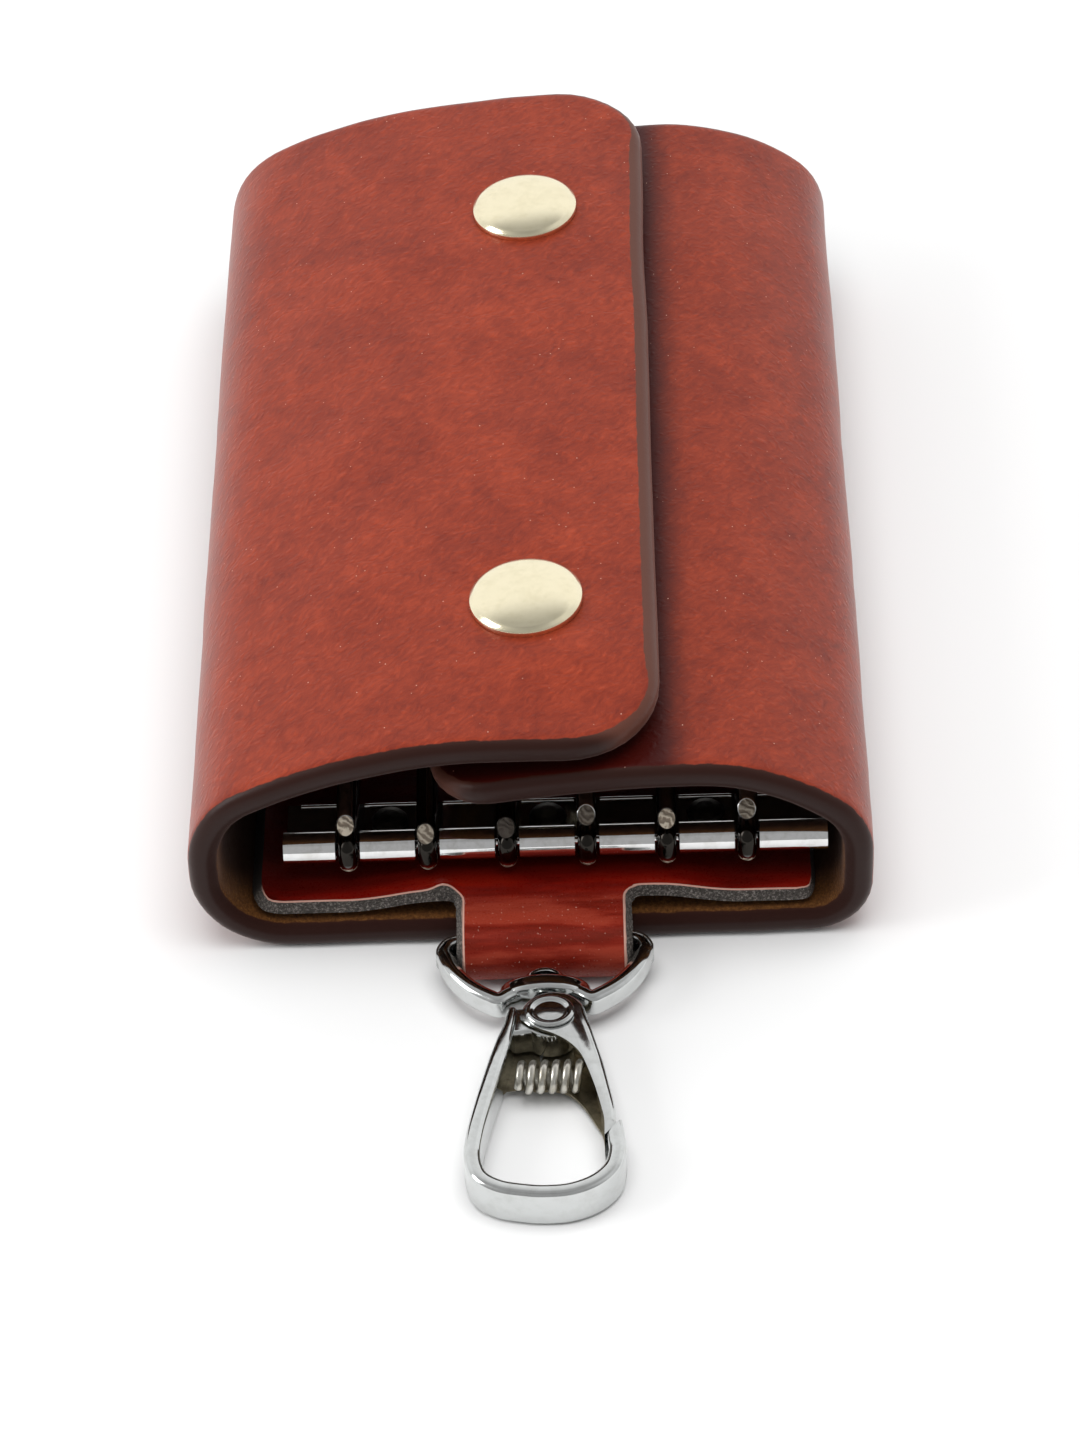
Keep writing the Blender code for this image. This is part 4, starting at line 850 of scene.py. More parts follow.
# the sawn wire ends, also used as a painted highlight on the bottoms of the eyes
def makeSawnEndAndHighlight():
    material, tree, shader = newMaterial("sawnEndPaintedHighlight")
    place = put(tree, "ShaderNodeTexCoord").outputs["Object"]
    big = put(tree, "ShaderNodeVectorMath", {0: place}, operation="SCALE")
    big.inputs["Scale"].default_value = 1000.0
    marks = put(tree, "ShaderNodeTexWave", {"Vector": big.outputs[0], "Scale": 0.5,
                                            "Distortion": 11.0, "Detail": 5.0,
                                            "Detail Scale": 1.5}, bands_direction="DIAGONAL")
    color = rampOf(tree, marks.outputs["Fac"], ((0.15, (0.22, 0.175, 0.13)),
                                                (0.55, (0.36, 0.30, 0.23)),
                                                (0.9, (0.58, 0.51, 0.41))))
    tone = put(tree, "ShaderNodeAttribute", attribute_name="tone").outputs["Fac"]
    color = mixColor(tree, tone, color, (0.035, 0.026, 0.020))
    tree.links.new(color, shader["Base Color"])
    tree.links.new(bumpOf(tree, marks.outputs["Fac"], 0.8, 0.12), shader["Normal"])
    shader["Metallic"].default_value = 0.35
    shader["Roughness"].default_value = 0.6
    return material


sawnEndAndHighlight = makeSawnEndAndHighlight()


def carve(item, cutter, kind="DIFFERENCE"):
    modifier = item.modifiers.new("carve", "BOOLEAN")
    modifier.operation = kind
    modifier.solver = "EXACT"
    modifier.object = cutter
    modifier.material_mode = "TRANSFER"
    graph = bpy.context.evaluated_depsgraph_get()
    shape = bpy.data.meshes.new_from_object(item.evaluated_get(graph))
    item.modifiers.clear()
    item.data = shape
    bpy.data.objects.remove(cutter)
    shape.set_sharp_from_angle(angle=math.radians(40))


def roundedCorners(corners, radii, step):
    # straight runs through flat corner points, each inner corner rounded
    points = [corners[0].copy()]
    for before, corner, after, radius in zip(corners, corners[1:], corners[2:], radii):
        back, ahead = (before - corner).normalized(), (after - corner).normalized()
        half = back.angle(ahead) / 2
        centre = corner + (back + ahead).normalized() * radius / math.sin(half)
        first = corner + back * radius / math.tan(half)
        sweep = math.pi - 2 * half
        turn = 1.0 if back.x * ahead.y - back.y * ahead.x < 0 else -1.0
        count = max(2, math.ceil(math.degrees(sweep) / step))
        for k in range(count + 1):
            angle = turn * sweep * k / count
            spoke = first - centre
            points.append(centre + Vector((spoke.x * math.cos(angle) - spoke.y * math.sin(angle),
                                           spoke.x * math.sin(angle) + spoke.y * math.cos(angle))))
    points.append(corners[-1].copy())
    return points


def walk(start, heading, parts, step):
    # points along runs (length, 0) and bends (radius, turn), right turns positive
    place, points = Vector(start), [Vector(start)]
    heading = math.radians(heading)
    for size, turn in parts:
        if turn:
            count = max(2, math.ceil(abs(turn) / step))
            radius = math.copysign(size, turn)
            for _ in range(count):
                new = heading - math.radians(turn) / count
                place = place + radius * Vector((math.sin(heading) - math.sin(new),
                                                 math.cos(new) - math.cos(heading)))
                heading = new
                points.append(place)
        else:
            place = place + size * Vector((math.cos(heading), math.sin(heading)))
            points.append(place)
    return points


# The key plate with its rolled barrel, and the rod in it
plate = {
    "left": -24.9,
    "right": 29.6,
    "sheet": 0.5,
    "start": (-41.7, 7.2),     # far edge, in the middle of the sheet
    "path": ((5.6962, 0), (2.0, 30), (0.9282, 0), (2.0, -30), (1.35, 270)),
    "hooks": (-18.45, -10.45, -2.45, 5.55, 13.55, 21.55),
    "slotHalf": 1.25,
    "slotReach": 2.9,          # from the rod towards the far edge
    "slotLength": 7.7,
    "rivets": (-14.45, 1.55, 17.55),
    "rivetY": -44.548,
    "rivetHole": 1.2,
    "bead": (-41.95, 7.42),    # a low bead along the far edge, broken behind each hook
    "beadRadius": 0.24,
    "beadGap": 1.35,
    "rodY": -50.2,
    "rodZ": 9.55,
    "rodRadius": 0.4,
}


def makeKeyPlate():
    path = walk(plate["start"], 180.0, plate["path"], 9.0)
    bm = bmesh.new()
    top, low = [], []
    for k, point in enumerate(path):
        ahead = (path[min(k + 1, len(path) - 1)] - path[max(k - 1, 0)]).normalized()
        side = Vector((-ahead.y, ahead.x)) * plate["sheet"] / 2
        top.append(point + side)
        low.append(point - side)
    outline = top + low[::-1]
    face = bm.faces.new([bm.verts.new((plate["left"], p.x, p.y)) for p in outline])
    raiseFaces(bm, [face], (plate["right"] - plate["left"], 0, 0))
    toMetres(bm)
    item = finishPiece("keyPlate", bm, [steel])
    bm = bmesh.new()
    reach, long = plate["slotReach"], plate["slotLength"]
    for x in plate["hooks"]:
        made = bmesh.ops.create_cube(bm, size=1.0)
        bmesh.ops.scale(bm, vec=(2 * plate["slotHalf"], long, 12.0), verts=made["verts"])
        bmesh.ops.translate(bm, vec=(x, plate["rodY"] + reach - long / 2, 9.0),
                            verts=made["verts"])
        upright = [e for e in bm.edges if e.verts[0] in made["verts"]
                   and abs(e.verts[0].co.z - e.verts[1].co.z) > 5]
        bmesh.ops.bevel(bm, geom=upright, offset=0.5, segments=4, profile=0.5, affect="EDGES",
                        material=-1)
    for x in plate["rivets"]:
        spot = Matrix.Translation((x, plate["rivetY"], 7.2))
        bmesh.ops.create_cone(bm, cap_ends=True, segments=24, radius1=plate["rivetHole"],
                              radius2=plate["rivetHole"], depth=3.0, matrix=spot)
    toMetres(bm)
    carve(item, finishPiece("plateSlots", bm, []))
    bm = bmesh.new()
    stops = [plate["left"], *plate["hooks"], plate["right"]]
    for start, end in zip(stops, stops[1:]):
        low, high = start + plate["beadGap"], end - plate["beadGap"]
        spot = (Matrix.Translation(((low + high) / 2, *plate["bead"]))
                @ Matrix.Rotation(math.pi / 2, 4, "Y"))
        bmesh.ops.create_cone(bm, cap_ends=True, segments=16, radius1=plate["beadRadius"],
                              radius2=plate["beadRadius"], depth=high - low, matrix=spot)
    toMetres(bm)
    carve(item, finishPiece("plateBead", bm, [steel]), "UNION")
    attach(item, "case_back")
    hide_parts("key_plate")
    bm = bmesh.new()
    middle = (plate["left"] + plate["right"]) / 2
    spot = (Matrix.Translation((middle, plate["rodY"], plate["rodZ"]))
            @ Matrix.Rotation(math.pi / 2, 4, "Y"))
    bmesh.ops.create_cone(bm, cap_ends=True, segments=24, radius1=plate["rodRadius"],
                          radius2=plate["rodRadius"], matrix=spot,
                          depth=plate["right"] - plate["left"] - 2.0)
    bmesh.ops.bevel(bm, geom=[e for e in bm.edges if e.calc_face_angle(0) > 1.2], offset=0.1,
                    segments=2, profile=0.5, affect="EDGES", material=-1)
    toMetres(bm)
    rod = finishPiece("hookRod", bm, [steel])
    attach(rod, "case_back")
    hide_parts("hook_rod")


makeKeyPlate()
print("key plate placed")


# Six key hooks of bent wire, each with an eye round the rod and a sawn free end
keyHook = {
    "wire": 1.9,
    "length": 24.2,
    "height": 6.6,
    "endRise": 4.2,
    "leads": (1.3, 2.6, 2.1, 0.8, 1.5, 0.5),
    "tilts": (1.5, 3.0, 2.5, 0.5, 2.0, 1.0),
    "tones": (0.0, 0.4, 0.95, 0.75, 0.0, 0.5),     # how dark each sawn end is
    "leg": -0.85,       # height of the leg that lies on the plate, from the rod
    "low": -2.41,       # and where it dips past the plate
    "legEnd": 9.0,
    "dipEnd": 15.5,
    "eye": 1.42,
    "litBottom": -1.2,     # below this the wire takes the sawn-end finish, a painted highlight on the eye's bottom
    "eyeCorner": 1.0,
    "cutSlant": 0.7,    # the free end is sawn off aslant
    "around": 24,       # facets round the wire
}


def hookPath(lead):
    tangent = math.radians(60.0)
    eye, leg, low = keyHook["eye"], keyHook["leg"], keyHook["low"]
    start = Vector((eye * math.cos(tangent), eye * math.sin(tangent)))
    legStart = start.x + (start.y - leg) * math.tan(tangent)
    high = low + keyHook["height"]
    bend = keyHook["height"] / 2 * 0.98
    long = keyHook["length"]
    corners = [start, Vector((legStart, leg)), Vector((keyHook["legEnd"], leg)),
               Vector((keyHook["dipEnd"], low)),
               Vector((long, low)), Vector((long, high)), Vector((long / 2, high + 0.6)),
               Vector((-lead, keyHook["endRise"]))]
    front = keyHook["eyeCorner"]
    loop = roundedCorners([Vector((start.x, -start.y)), Vector((0.3, -eye)), Vector((-eye, -eye)),
                           Vector((-eye, eye)), Vector((0.3, eye)), start],
                          (0.5, front, front, 0.5), 10.0)
    return loop[:-1] + roundedCorners(corners, (2.0, 5.0, 5.0, bend, bend, 20.0), 7.0)


def makeKeyHook(number):
    path = hookPath(keyHook["leads"][number])
    radius = keyHook["wire"] / 2
    bm = bmesh.new()
    rings = []
    for k, point in enumerate(path):
        ahead = (path[min(k + 1, len(path) - 1)] - path[max(k - 1, 0)]).normalized()
        turn = Matrix.Rotation(math.atan2(ahead.y, ahead.x) - math.pi / 2, 4, "X")
        spot = Matrix.Translation((0, point.x, point.y)) @ turn
        rings.append(wireRing(bm, keyHook["around"], radius, spot))
    bridgeRings(bm, rings)
    for vert in {v for e in rings[-1] for v in e.verts}:
        vert.co.y += keyHook["cutSlant"] * (vert.co.z - path[-1].y) / radius
    caps = bmesh.ops.holes_fill(bm, edges=rings[0] + rings[-1])["faces"]
    soft = [e for face in caps for e in face.edges]
    for face in caps:
        face.material_index = 1
    bmesh.ops.bevel(bm, geom=soft, offset=0.12, segments=2, profile=0.5, affect="EDGES",
                    material=0)
    shade = bm.verts.layers.float.new("paintedDarkReflection")
    tone = bm.verts.layers.float.new("tone")
    # painted highlight: the bottom of the eye gets the lighter, duller sawn-end finish where the
    # wire catches the light
    for face in bm.faces:
        middle = face.calc_center_median()
        if middle.z < keyHook["litBottom"] and middle.y < 1.0:
            face.material_index = 1
    for vert in bm.verts:
        vert[tone] = keyHook["tones"][number] * (vert.co.z > 0)
        # painted dark reflection: the eye's front above its bottom goes dark, and the legs half as
        # dark, where the wire mirrors the dark leather
        front = 1.0 - fadeOut(-vert.co.y, 0.3, 1.1)
        above = fadeOut(vert.co.z, -0.6, -1.2)
        legs = 1.0 - fadeOut(vert.co.y, 1.0, 4.0)
        vert[shade] = max(front * above, 0.55 * legs)
    tilt = math.radians(keyHook["tilts"][number])
    place = (Matrix.Translation((plate["hooks"][number], plate["rodY"], plate["rodZ"]))
             @ Matrix.Rotation(tilt, 4, "X"))
    bmesh.ops.transform(bm, matrix=Matrix.Diagonal((mm, mm, mm, 1.0)) @ place, verts=bm.verts)
    item = finishPiece(f"keyHook{number + 1}", bm, [hookSteel, sawnEndAndHighlight])
    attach(item, f"hook_{number + 1}")
    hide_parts(f"key_hook_{number + 1}")


for number in range(6):
    makeKeyHook(number)
print("key hooks hung")


# The clasp, laid out flat as (right, forward of the bail's bar), then set on its slope
clasp = {
    "bar": (0.0, -58.75, 3.3),
    "slope": 0.030133685,
    "middle": 1.05,
    "bailWidth": 21.8,
    "bailDepth": 9.9,
    "bailThick": 1.7,
    "bailHeight": 2.8,
    "bailCorner": 1.5,
    "bailBowEnd": 5.6,          # from here the bow turns in to the boss
    "bailNeck": ((4.6, 1.05), (3.6, 1.7)),
    "bossNear": 5.7,
    "bossLength": 1.9,
    "bossHalf": (4.5, 2.1),
    "postRadius": 1.0,
    "postBore": 1.3,
    "headRadius": 2.1,
    "headLength": 1.1,
    "pivot": (1.56, 11.1),
    "neckRadius": 2.7,
    "neckHalf": 1.55,
    "band": 1.7,
    "bandHeight": 4.5,
    "bandCorner": 0.6,
    "bandTaper": (0.53, 0.7, 0.94),
    "bandLine": ((-3.66, -0.8), (-4.01, 1.3), (-4.51, 3.3), (-5.16, 5.7), (-5.91, 8.7),
                 (-6.66, 11.9), (-7.31, 15.2), (-7.56, 18.2), (-6.86, 20.7), (-5.01, 22.1),
                 (-2.56, 22.7), (-0.56, 22.9), (1.84, 22.7), (4.14, 21.7), (5.74, 20.0),
                 (6.29, 18.0), (6.24, 16.3), (5.94, 13.9)),
    "shoulder": ((-3.86, -1.2), (0.0, -1.48), (0.0, 1.75), (-4.16, 2.3)),
    "seam": ((6.54, 14.4), (5.44, 15.9)),
    "gateOuter": ((4.34, 3.1), (5.14, 6.1), (5.69, 9.1), (6.14, 11.8)),
    "gateInner": ((5.09, 13.6), (4.74, 11.6), (4.24, 9.3), (3.54, 6.8), (2.84, 5.0),
                  (1.74, 3.7), (0.44, 2.8), (-0.96, 2.15), (-2.06, 1.5)),
    "gateLower": ((4.95, 13.0), (4.2, 11.2), (3.0, 8.8), (1.6, 7.2), (0.0, 6.7), (-1.4, 6.7),
                  (-2.2, 6.3)),
    "floor": ((-4.3, 0.6), (-1.2, 1.2), (-1.0, 6.4), (-4.4, 6.8), (-5.0, 7.6), (-5.4, 6.4)),
    "floorLevels": (-1.82, -1.72),
    "gateEye": 3.25,
    "gateHeight": 4.3,
    "gateSheet": 0.3,
    "gateWeb": 1.1,
    "channelSides": (9.4, -4.24),       # how far the gate's hollow is cut, right and left
    "crown": 0.5,       # the gate's top is highest round its pin
    "gap": 0.3,
    "pivotBore": 1.4,
    "pinRadius": 1.1,
    "pinHead": 2.4,
    "pinHeadHeight": 0.35,
    "pinOval": 0.86,
    "springAcross": 3.4,
    "springWire": 0.8,
    "springTurns": 5.5,
    "springForward": 17.7,
}


def claspPlace():
    slope = Matrix.Rotation(clasp["slope"], 4, "X")
    return Matrix.Diagonal((mm, mm, mm, 1.0)) @ Matrix.Translation(clasp["bar"]) @ slope


def onClasp(bm):
    bmesh.ops.transform(bm, matrix=claspPlace(), verts=bm.verts)


def fromPivot(points):
    return [Vector(clasp["pivot"]) + Vector(p) for p in points]


def curveThrough(points, steps):
    ends = [points[0] * 2 - points[1]] + list(points) + [points[-1] * 2 - points[-2]]
    curve = []
    for a, b, c, d in zip(ends, ends[1:], ends[2:], ends[3:]):
        for k in range(steps):
            t = k / steps
            curve.append(0.5 * (2 * b + (c - a) * t + (2 * a - 5 * b + 4 * c - d) * t * t
                                + (3 * b - a - 3 * c + d) * t * t * t))
    return curve + [points[-1].copy()]


def sweepBar(bm, points, widths, height, corner, swell=0.0):
    # a bar with rounded corners, lying flat along the points; swell bows its sides out
    rings = []
    for k, point in enumerate(points):
        ahead = points[min(k + 1, len(points) - 1)] - points[max(k - 1, 0)]
        side = Vector((ahead.y, -ahead.x)).normalized()
        half, rise = widths[k] / 2, height / 2
        bend = min(corner, half * 0.9)
        verts = []
        for right, up, start in ((1, 1, 0), (-1, 1, 90), (-1, -1, 180), (1, -1, 270)):
            for step in range(6):
                angle = math.radians(start + 18 * step)
                across = right * (half - bend) + bend * math.cos(angle)
                high = up * (rise - bend) + bend * math.sin(angle)
                across *= 1 - swell * (high / rise) ** 2
                verts.append(bm.verts.new((point.x + side.x * across,
                                           -(point.y + side.y * across), high)))
        rings.append([bm.edges.new(pair) for pair in zip(verts, verts[1:] + verts[:1])])
    bridgeRings(bm, rings)
    caps = bmesh.ops.holes_fill(bm, edges=rings[0] + rings[-1])["faces"]
    bmesh.ops.bevel(bm, geom=[e for f in caps for e in f.edges], offset=0.2,
                    segments=2, profile=0.5, affect="EDGES", material=-1)


def spinProfile(bm, profile, centre, axis, steps):
    turn = Vector((0, 0, 1)).rotation_difference(Vector(axis)).to_matrix().to_4x4()
    place = Matrix.Translation(centre) @ turn
    verts = [bm.verts.new(place @ Vector((r, 0, h))) for r, h in profile]
    edges = [bm.edges.new(pair) for pair in zip(verts, verts[1:])]
    bmesh.ops.spin(bm, geom=verts + edges, cent=centre, axis=axis, angle=2 * math.pi,
                   steps=steps, use_merge=True)
    bmesh.ops.remove_doubles(bm, verts=bm.verts, dist=1e-5)


def raiseOutline(bm, outline, low, high):
    face = bm.faces.new([bm.verts.new((p.x, -p.y, low)) for p in outline])
    raiseFaces(bm, [face], (0, 0, high - low))


def borePivot(item, name, centre):
    wide = clasp["pivotBore"]
    bm = bmesh.new()
    spinProfile(bm, [(0.0, -4.0), (wide, -4.0), (wide, 4.0), (0.0, 4.0)], centre, (0, 0, 1), 40)
    onClasp(bm)
    carve(item, finishPiece(name, bm, []))


def flatRim(bm):
    bm.normal_update()
    return [e for e in bm.edges if abs(e.verts[0].co.z - e.verts[1].co.z) < 1e-6
            and sum(abs(f.normal.z) > 0.9 for f in e.link_faces) == 1]


def makeBail():
    half = (clasp["bailWidth"] - clasp["bailThick"]) / 2
    depth = clasp["bailDepth"] - clasp["bailThick"] / 2
    corner = clasp["bailCorner"]
    bend = [Vector((half - corner + corner * math.sin(math.radians(a)),
                    corner - corner * math.cos(math.radians(a)))) for a in range(0, 91, 10)]
    start, end = math.asin(corner / depth), math.acos(clasp["bailBowEnd"] / half)
    oval = [Vector((half * math.cos(start + (end - start) * k / 24),
                    depth * math.sin(start + (end - start) * k / 24))) for k in range(1, 25)]
    ends = [oval[-1], *(Vector((x, depth - short)) for x, short in clasp["bailNeck"]),
            Vector((2.4, clasp["bossNear"] + clasp["bossLength"] / 2))]
    side = Vector((clasp["middle"], 0.0))
    right = [Vector((0.0, 0.0))] + bend + oval + curveThrough(ends, 5)[1:]
    points = [Vector((-p.x, p.y)) + side for p in right[:0:-1]] + [p + side for p in right]
    bm = bmesh.new()
    sweepBar(bm, points, [clasp["bailThick"]] * len(points), clasp["bailHeight"], 0.75)
    onClasp(bm)
    item = finishPiece("claspBail", bm, [chrome])
    bm = bmesh.new()
    reach, tall = clasp["bossHalf"]
    near, long = clasp["bossNear"], clasp["bossLength"]
    profile = [(0.0, 0.0)] + [(1.0 - 0.12 * (1 - math.sin(a)), 0.30 * (1 - math.cos(a)))
                              for a in (0.0, 0.4, 0.8, 1.2, 1.57)]
    profile += [(r, 1.0 - h) for r, h in reversed(profile)]
    spinProfile(bm, [(r, h * long) for r, h in profile], (0, 0, 0), (0, 0, 1), 64)
    stand = (Matrix.Translation((clasp["middle"], -near, 0)) @ Matrix.Rotation(math.pi / 2, 4, "X")
             @ Matrix.Diagonal((reach, tall, 1.0, 1.0)))
    bmesh.ops.transform(bm, matrix=stand, verts=bm.verts)
    onClasp(bm)
    carve(item, finishPiece("bailBoss", bm, []), "UNION")
    bm = bmesh.new()
    wide = clasp["postBore"]
    spinProfile(bm, [(0.0, -2.0), (wide, -2.0), (wide, 4.0), (0.0, 4.0)],
                (clasp["middle"], -near, 0), (0, -1, 0), 40)
    onClasp(bm)
    carve(item, finishPiece("bailBore", bm, []))
    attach(item, "bail")
    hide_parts("clasp_bail")


def makeHookBody():
    line = curveThrough(fromPivot(clasp["bandLine"]), 7)
    taper = list(clasp["bandTaper"]) + [1.0]
    shares = []
    for k in range(len(line)):
        place = min(k / 7, 2.999)
        low = int(place)
        shares.append(taper[low] + (taper[low + 1] - taper[low]) * (place - low))
    bm = bmesh.new()
    sweepBar(bm, line, [clasp["band"] * share for share in shares], clasp["bandHeight"],
             clasp["bandCorner"], 0.05)
    onClasp(bm)
    item = finishPiece("hookBody", bm, [chrome])
    bm = bmesh.new()
    outer, inner = fromPivot(clasp["seam"])
    reach = outer - inner
    far, near = outer + reach, inner - reach
    back = Vector((-2.0, -4.0))
    raiseOutline(bm, [far, near, near + back, far + back], -6.0, 6.0)
    onClasp(bm)
    carve(item, finishPiece("hookSeam", bm, []))
    bm = bmesh.new()
    px, py = clasp["pivot"]
    half = clasp["neckHalf"]
    girth = clasp["neckRadius"]
    neck = [(0.0, half), (girth - 0.25, half), (girth - 0.07, half - 0.07), (girth, half - 0.25)]
    spinProfile(bm, neck + [(r, -h) for r, h in reversed(neck)], (px, -py, 0), (0, 0, 1), 48)
    onClasp(bm)
    carve(item, finishPiece("hookNeck", bm, []), "UNION")
    bm = bmesh.new()
    raiseOutline(bm, fromPivot(clasp["shoulder"]), -half * 0.98, half * 0.98)
    bmesh.ops.bevel(bm, geom=flatRim(bm), offset=0.35, segments=4, profile=0.5, affect="EDGES",
                    material=-1)
    onClasp(bm)
    carve(item, finishPiece("hookShoulder", bm, []), "UNION")
    bm = bmesh.new()
    raiseOutline(bm, fromPivot(clasp["floor"]), *clasp["floorLevels"])
    onClasp(bm)
    carve(item, finishPiece("hookFloor", bm, [channelShade]), "UNION")
    bm = bmesh.new()
    head = clasp["bossNear"] - clasp["gap"]
    long, wide = clasp["headLength"], clasp["headRadius"]
    profile = [(0.0, head - long)]
    profile += [(wide * math.sin(a), head - long * (0.25 + 0.75 * math.cos(a)))
                for a in (0.2, 0.4, 0.6, 0.8, 1.0, 1.2, 1.4)]
    profile += [(wide, head - 0.2 * long), (wide - 0.05, head), (clasp["postRadius"], head),
                (clasp["postRadius"], py - 1.4), (0.0, py - 1.4)]
    spinProfile(bm, profile, (clasp["middle"], 0, 0), (0, -1, 0), 48)
    onClasp(bm)
    carve(item, finishPiece("hookPost", bm, []), "UNION")
    borePivot(item, "hookBore", (px, -py, 0))
    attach(item, "swivel_hook")
    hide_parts("hook_body")


def makeHookGate():
    pivot = Vector(clasp["pivot"])
    eye = [pivot + Vector((0.3 + math.cos(math.radians(a)) * clasp["gateEye"],
                           0.3 - math.sin(math.radians(a)) * clasp["gateEye"]))
           for a in range(185, -1, -6)]
    seamOut, seamIn = fromPivot(clasp["seam"])
    clear = Vector((seamOut.y - seamIn.y, seamIn.x - seamOut.x)).normalized() * clasp["gap"]
    outerLine = fromPivot(clasp["gateOuter"])
    outer = curveThrough([eye[-1]] + outerLine + [seamOut + clear], 6)[1:]
    inner = curveThrough([seamIn + clear - Vector((0.1, 0.0))]
                         + fromPivot(clasp["gateInner"]), 6)
    half = clasp["gateHeight"] / 2
    bm = bmesh.new()
    raiseOutline(bm, eye + outer + inner, -half, half)
    count = len(eye) + len(outer)
    marks = {(round(p.x, 4), round(-p.y, 4)) for p in (eye + outer)[3:count - 1]}
    rim = flatRim(bm)
    outside = [e for e in rim if all((round(v.co.x, 4), round(v.co.y, 4)) in marks
                                     for v in e.verts)]
    bmesh.ops.bevel(bm, geom=outside, offset=0.5, segments=5, profile=0.5, affect="EDGES",
                    material=-1)
    onClasp(bm)
    item = finishPiece("hookGate", bm, [chrome])
    web = [p - Vector((clasp["gateWeb"], 0.0)) for p in outerLine]
    under = pivot.y + clasp["neckRadius"] - 0.6
    start = pivot + Vector((0.3, 0.3))
    share = (under - start.y) / (web[0].y - start.y)
    turn = Vector((start.x + (web[0].x - start.x) * share, under))
    farRight, farLeft = clasp["channelSides"]
    channel = ([Vector((farRight, clasp["bossNear"])), Vector((farRight, under - 1.2)), turn]
               + curveThrough(web, 4)
               + [Vector((farLeft, web[-1].y)), Vector((farLeft, clasp["bossNear"]))])
    bm = bmesh.new()
    raiseOutline(bm, channel, -half + clasp["gateSheet"], half - clasp["gateSheet"])
    onClasp(bm)
    carve(item, finishPiece("gateChannel", bm, [channelShade]))
    lower = curveThrough([seamIn + clear - Vector((0.1, 0.0))] + fromPivot(clasp["gateLower"]), 6)
    bm = bmesh.new()
    raiseOutline(bm, [pivot + Vector((-0.4, 1.0)), pivot + Vector((2.6, 0.8))]
                 + [p - Vector((0.4, 0.0)) for p in curveThrough(outerLine, 4)] + lower,
                 -half, -half + clasp["gateSheet"])
    onClasp(bm)
    carve(item, finishPiece("gateLower", bm, [channelShade]), "UNION")
    borePivot(item, "gateBore", (pivot.x, -pivot.y, 0))
    for vert in item.data.vertices:
        forward = (clasp["bar"][1] - pivot.y) - vert.co.y / mm
        if vert.co.z > clasp["bar"][2] * mm:
            vert.co.z -= clasp["crown"] * (1 - fadeOut(forward, 1.0, 6.5)) * mm
    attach(item, "gate")
    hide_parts("hook_gate")


def makeGatePin():
    seat = clasp["gateHeight"] / 2 + 0.02
    head = seat + clasp["pinHeadHeight"]
    wide = clasp["pinHead"]
    upper = [(0.0, head - 0.1), (wide * 0.3, head - 0.12), (wide * 0.58, head - 0.2),
             (wide * 0.66, head - 0.21), (wide * 0.72, head - 0.14), (wide * 0.78, head - 0.03),
             (wide * 0.86, head), (wide * 0.94, head - 0.04), (wide * 0.99, head - 0.12),
             (wide, head - 0.2), (wide - 0.04, seat), (clasp["pinRadius"], seat)]
    px, py = clasp["pivot"]
    bm = bmesh.new()
    spinProfile(bm, upper + [(r, -h) for r, h in reversed(upper)], (0, 0, 0), (0, 0, 1), 56)
    bmesh.ops.transform(bm, matrix=Matrix.Translation((px, -py, 0))
                        @ Matrix.Diagonal((1.0, clasp["pinOval"], 1.0, 1.0)), verts=bm.verts)
    onClasp(bm)
    item = finishPiece("gatePin", bm, [chrome])
    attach(item, "swivel_hook")
    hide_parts("gate_pin")


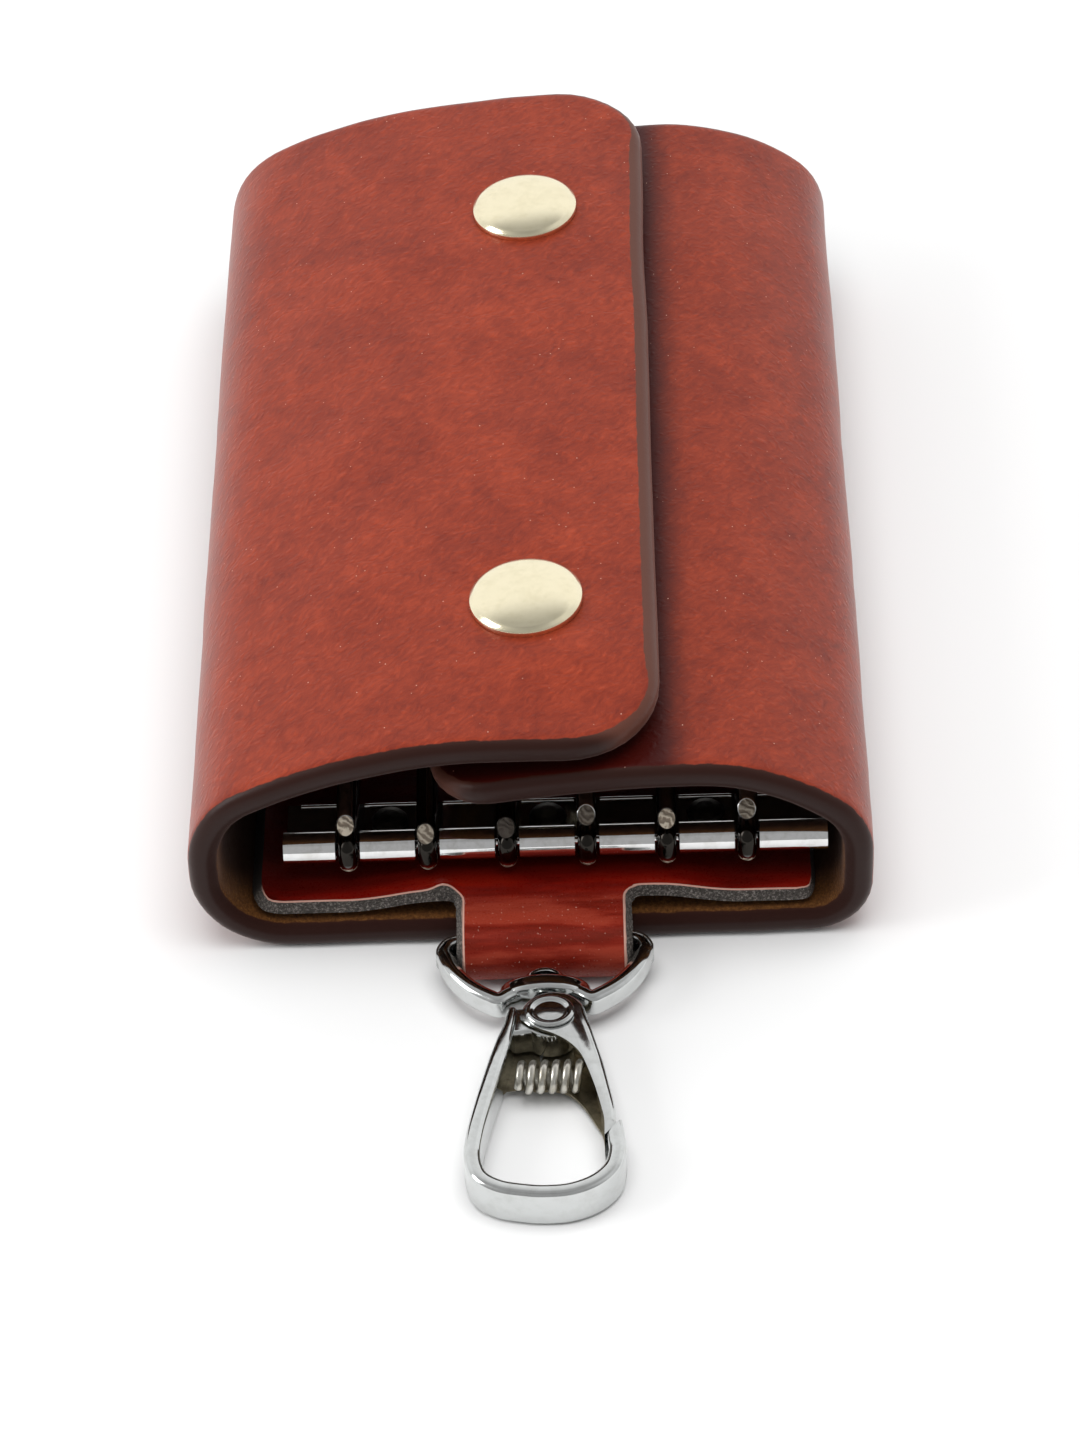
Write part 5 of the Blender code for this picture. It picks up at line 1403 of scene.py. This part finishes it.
def makeGateSpring():
    coil = (clasp["springAcross"] - clasp["springWire"]) / 2
    room = clasp["gap"] + clasp["springWire"] / 2
    forward = clasp["springForward"]
    top = forward - coil - clasp["springWire"] / 2
    left = crossing(fromPivot(clasp["bandLine"]), top) + clasp["band"] / 2 + 0.15 + room
    right = crossing(fromPivot(clasp["gateOuter"]), top) - clasp["gateWeb"] - room
    turns, around = clasp["springTurns"], 32
    count = round(turns * around)
    bm = bmesh.new()
    rings = []
    for k in range(count + 1):
        angle = 2 * math.pi * k / around
        centre = Vector((left + (right - left) * k / count,
                         -(forward + coil * math.cos(angle)), coil * math.sin(angle)))
        ahead = Vector(((right - left) / count * around / (2 * math.pi),
                        coil * math.sin(angle), coil * math.cos(angle)))
        turn = Vector((0, 0, 1)).rotation_difference(ahead).to_matrix().to_4x4()
        outwards = Vector((0, -math.cos(angle), math.sin(angle)))
        spin = turn.to_3x3() @ Vector((1, 0, 0))
        twist = math.atan2(spin.cross(outwards).dot(ahead.normalized()), spin.dot(outwards))
        place = Matrix.Translation(centre) @ turn @ Matrix.Rotation(twist, 4, "Z")
        rings.append(wireRing(bm, 14, clasp["springWire"] / 2, place))
    bridgeRings(bm, rings)
    bmesh.ops.holes_fill(bm, edges=rings[0] + rings[-1])
    onClasp(bm)
    item = finishPiece("gateSpring", bm, [springSteel], 60.0)
    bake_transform(item)
    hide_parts("gate_spring")


def crossing(points, forward):
    for a, b in zip(points, points[1:]):
        if a.y <= forward <= b.y:
            return a.x + (b.x - a.x) * (forward - a.y) / (b.y - a.y)
    return points[-1].x


makeBail()
makeHookBody()
makeHookGate()
makeGatePin()
makeGateSpring()
print("clasp hung")


# Snap fasteners: caps on the front flap, and the parts under it keep their solids
snap = {
    "radius": 5.75,
    "height": 1.35,
    "sink": 0.6,
    "stem": (1.5, -3.7),        # radius, and how deep it goes
}


def makeSnaps():
    cap = alongFor(hide["capX"])
    for number, y in enumerate(hide["capRows"], start=1):
        seat = onHide(cap, y, 0) / mm
        up = (onHide(cap, 0, 0) - onHide(cap, 0, 1)).normalized()
        wide, tall, base = snap["radius"], snap["height"], 0.3 - snap["sink"]
        stem, foot = snap["stem"]
        dome = [(0.0, 0.3 + tall)]
        for k in range(1, 14):
            angle = math.pi / 2 * k / 14
            dome.append((wide * 0.965 * math.sin(angle),
                         0.3 + tall * (0.16 + 0.84 * math.cos(angle))))
        dome += [(wide * 0.985, 0.3 + tall * 0.17), (wide, 0.3 + tall * 0.06),
                 (wide, base + 0.12), (wide - 0.1, base), (stem, base), (stem, foot), (0.0, foot)]
        bm = bmesh.new()
        spinProfile(bm, dome, seat, up, 72)
        toMetres(bm)
        item = finishPiece(f"snapCap{number}", bm, [nickel], 50.0)
        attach(item, "front_flap")
        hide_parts(f"snap_cap_{number}")


makeSnaps()
plain = {"plate_rivet": rivetSteel, "snap_socket": nickel, "snap_stud": nickel, "snap_post": nickel}
for name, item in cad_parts.items():
    for start, finish in plain.items():
        if name.startswith(start):
            item.material_slots[0].material = finish
print("snaps set")
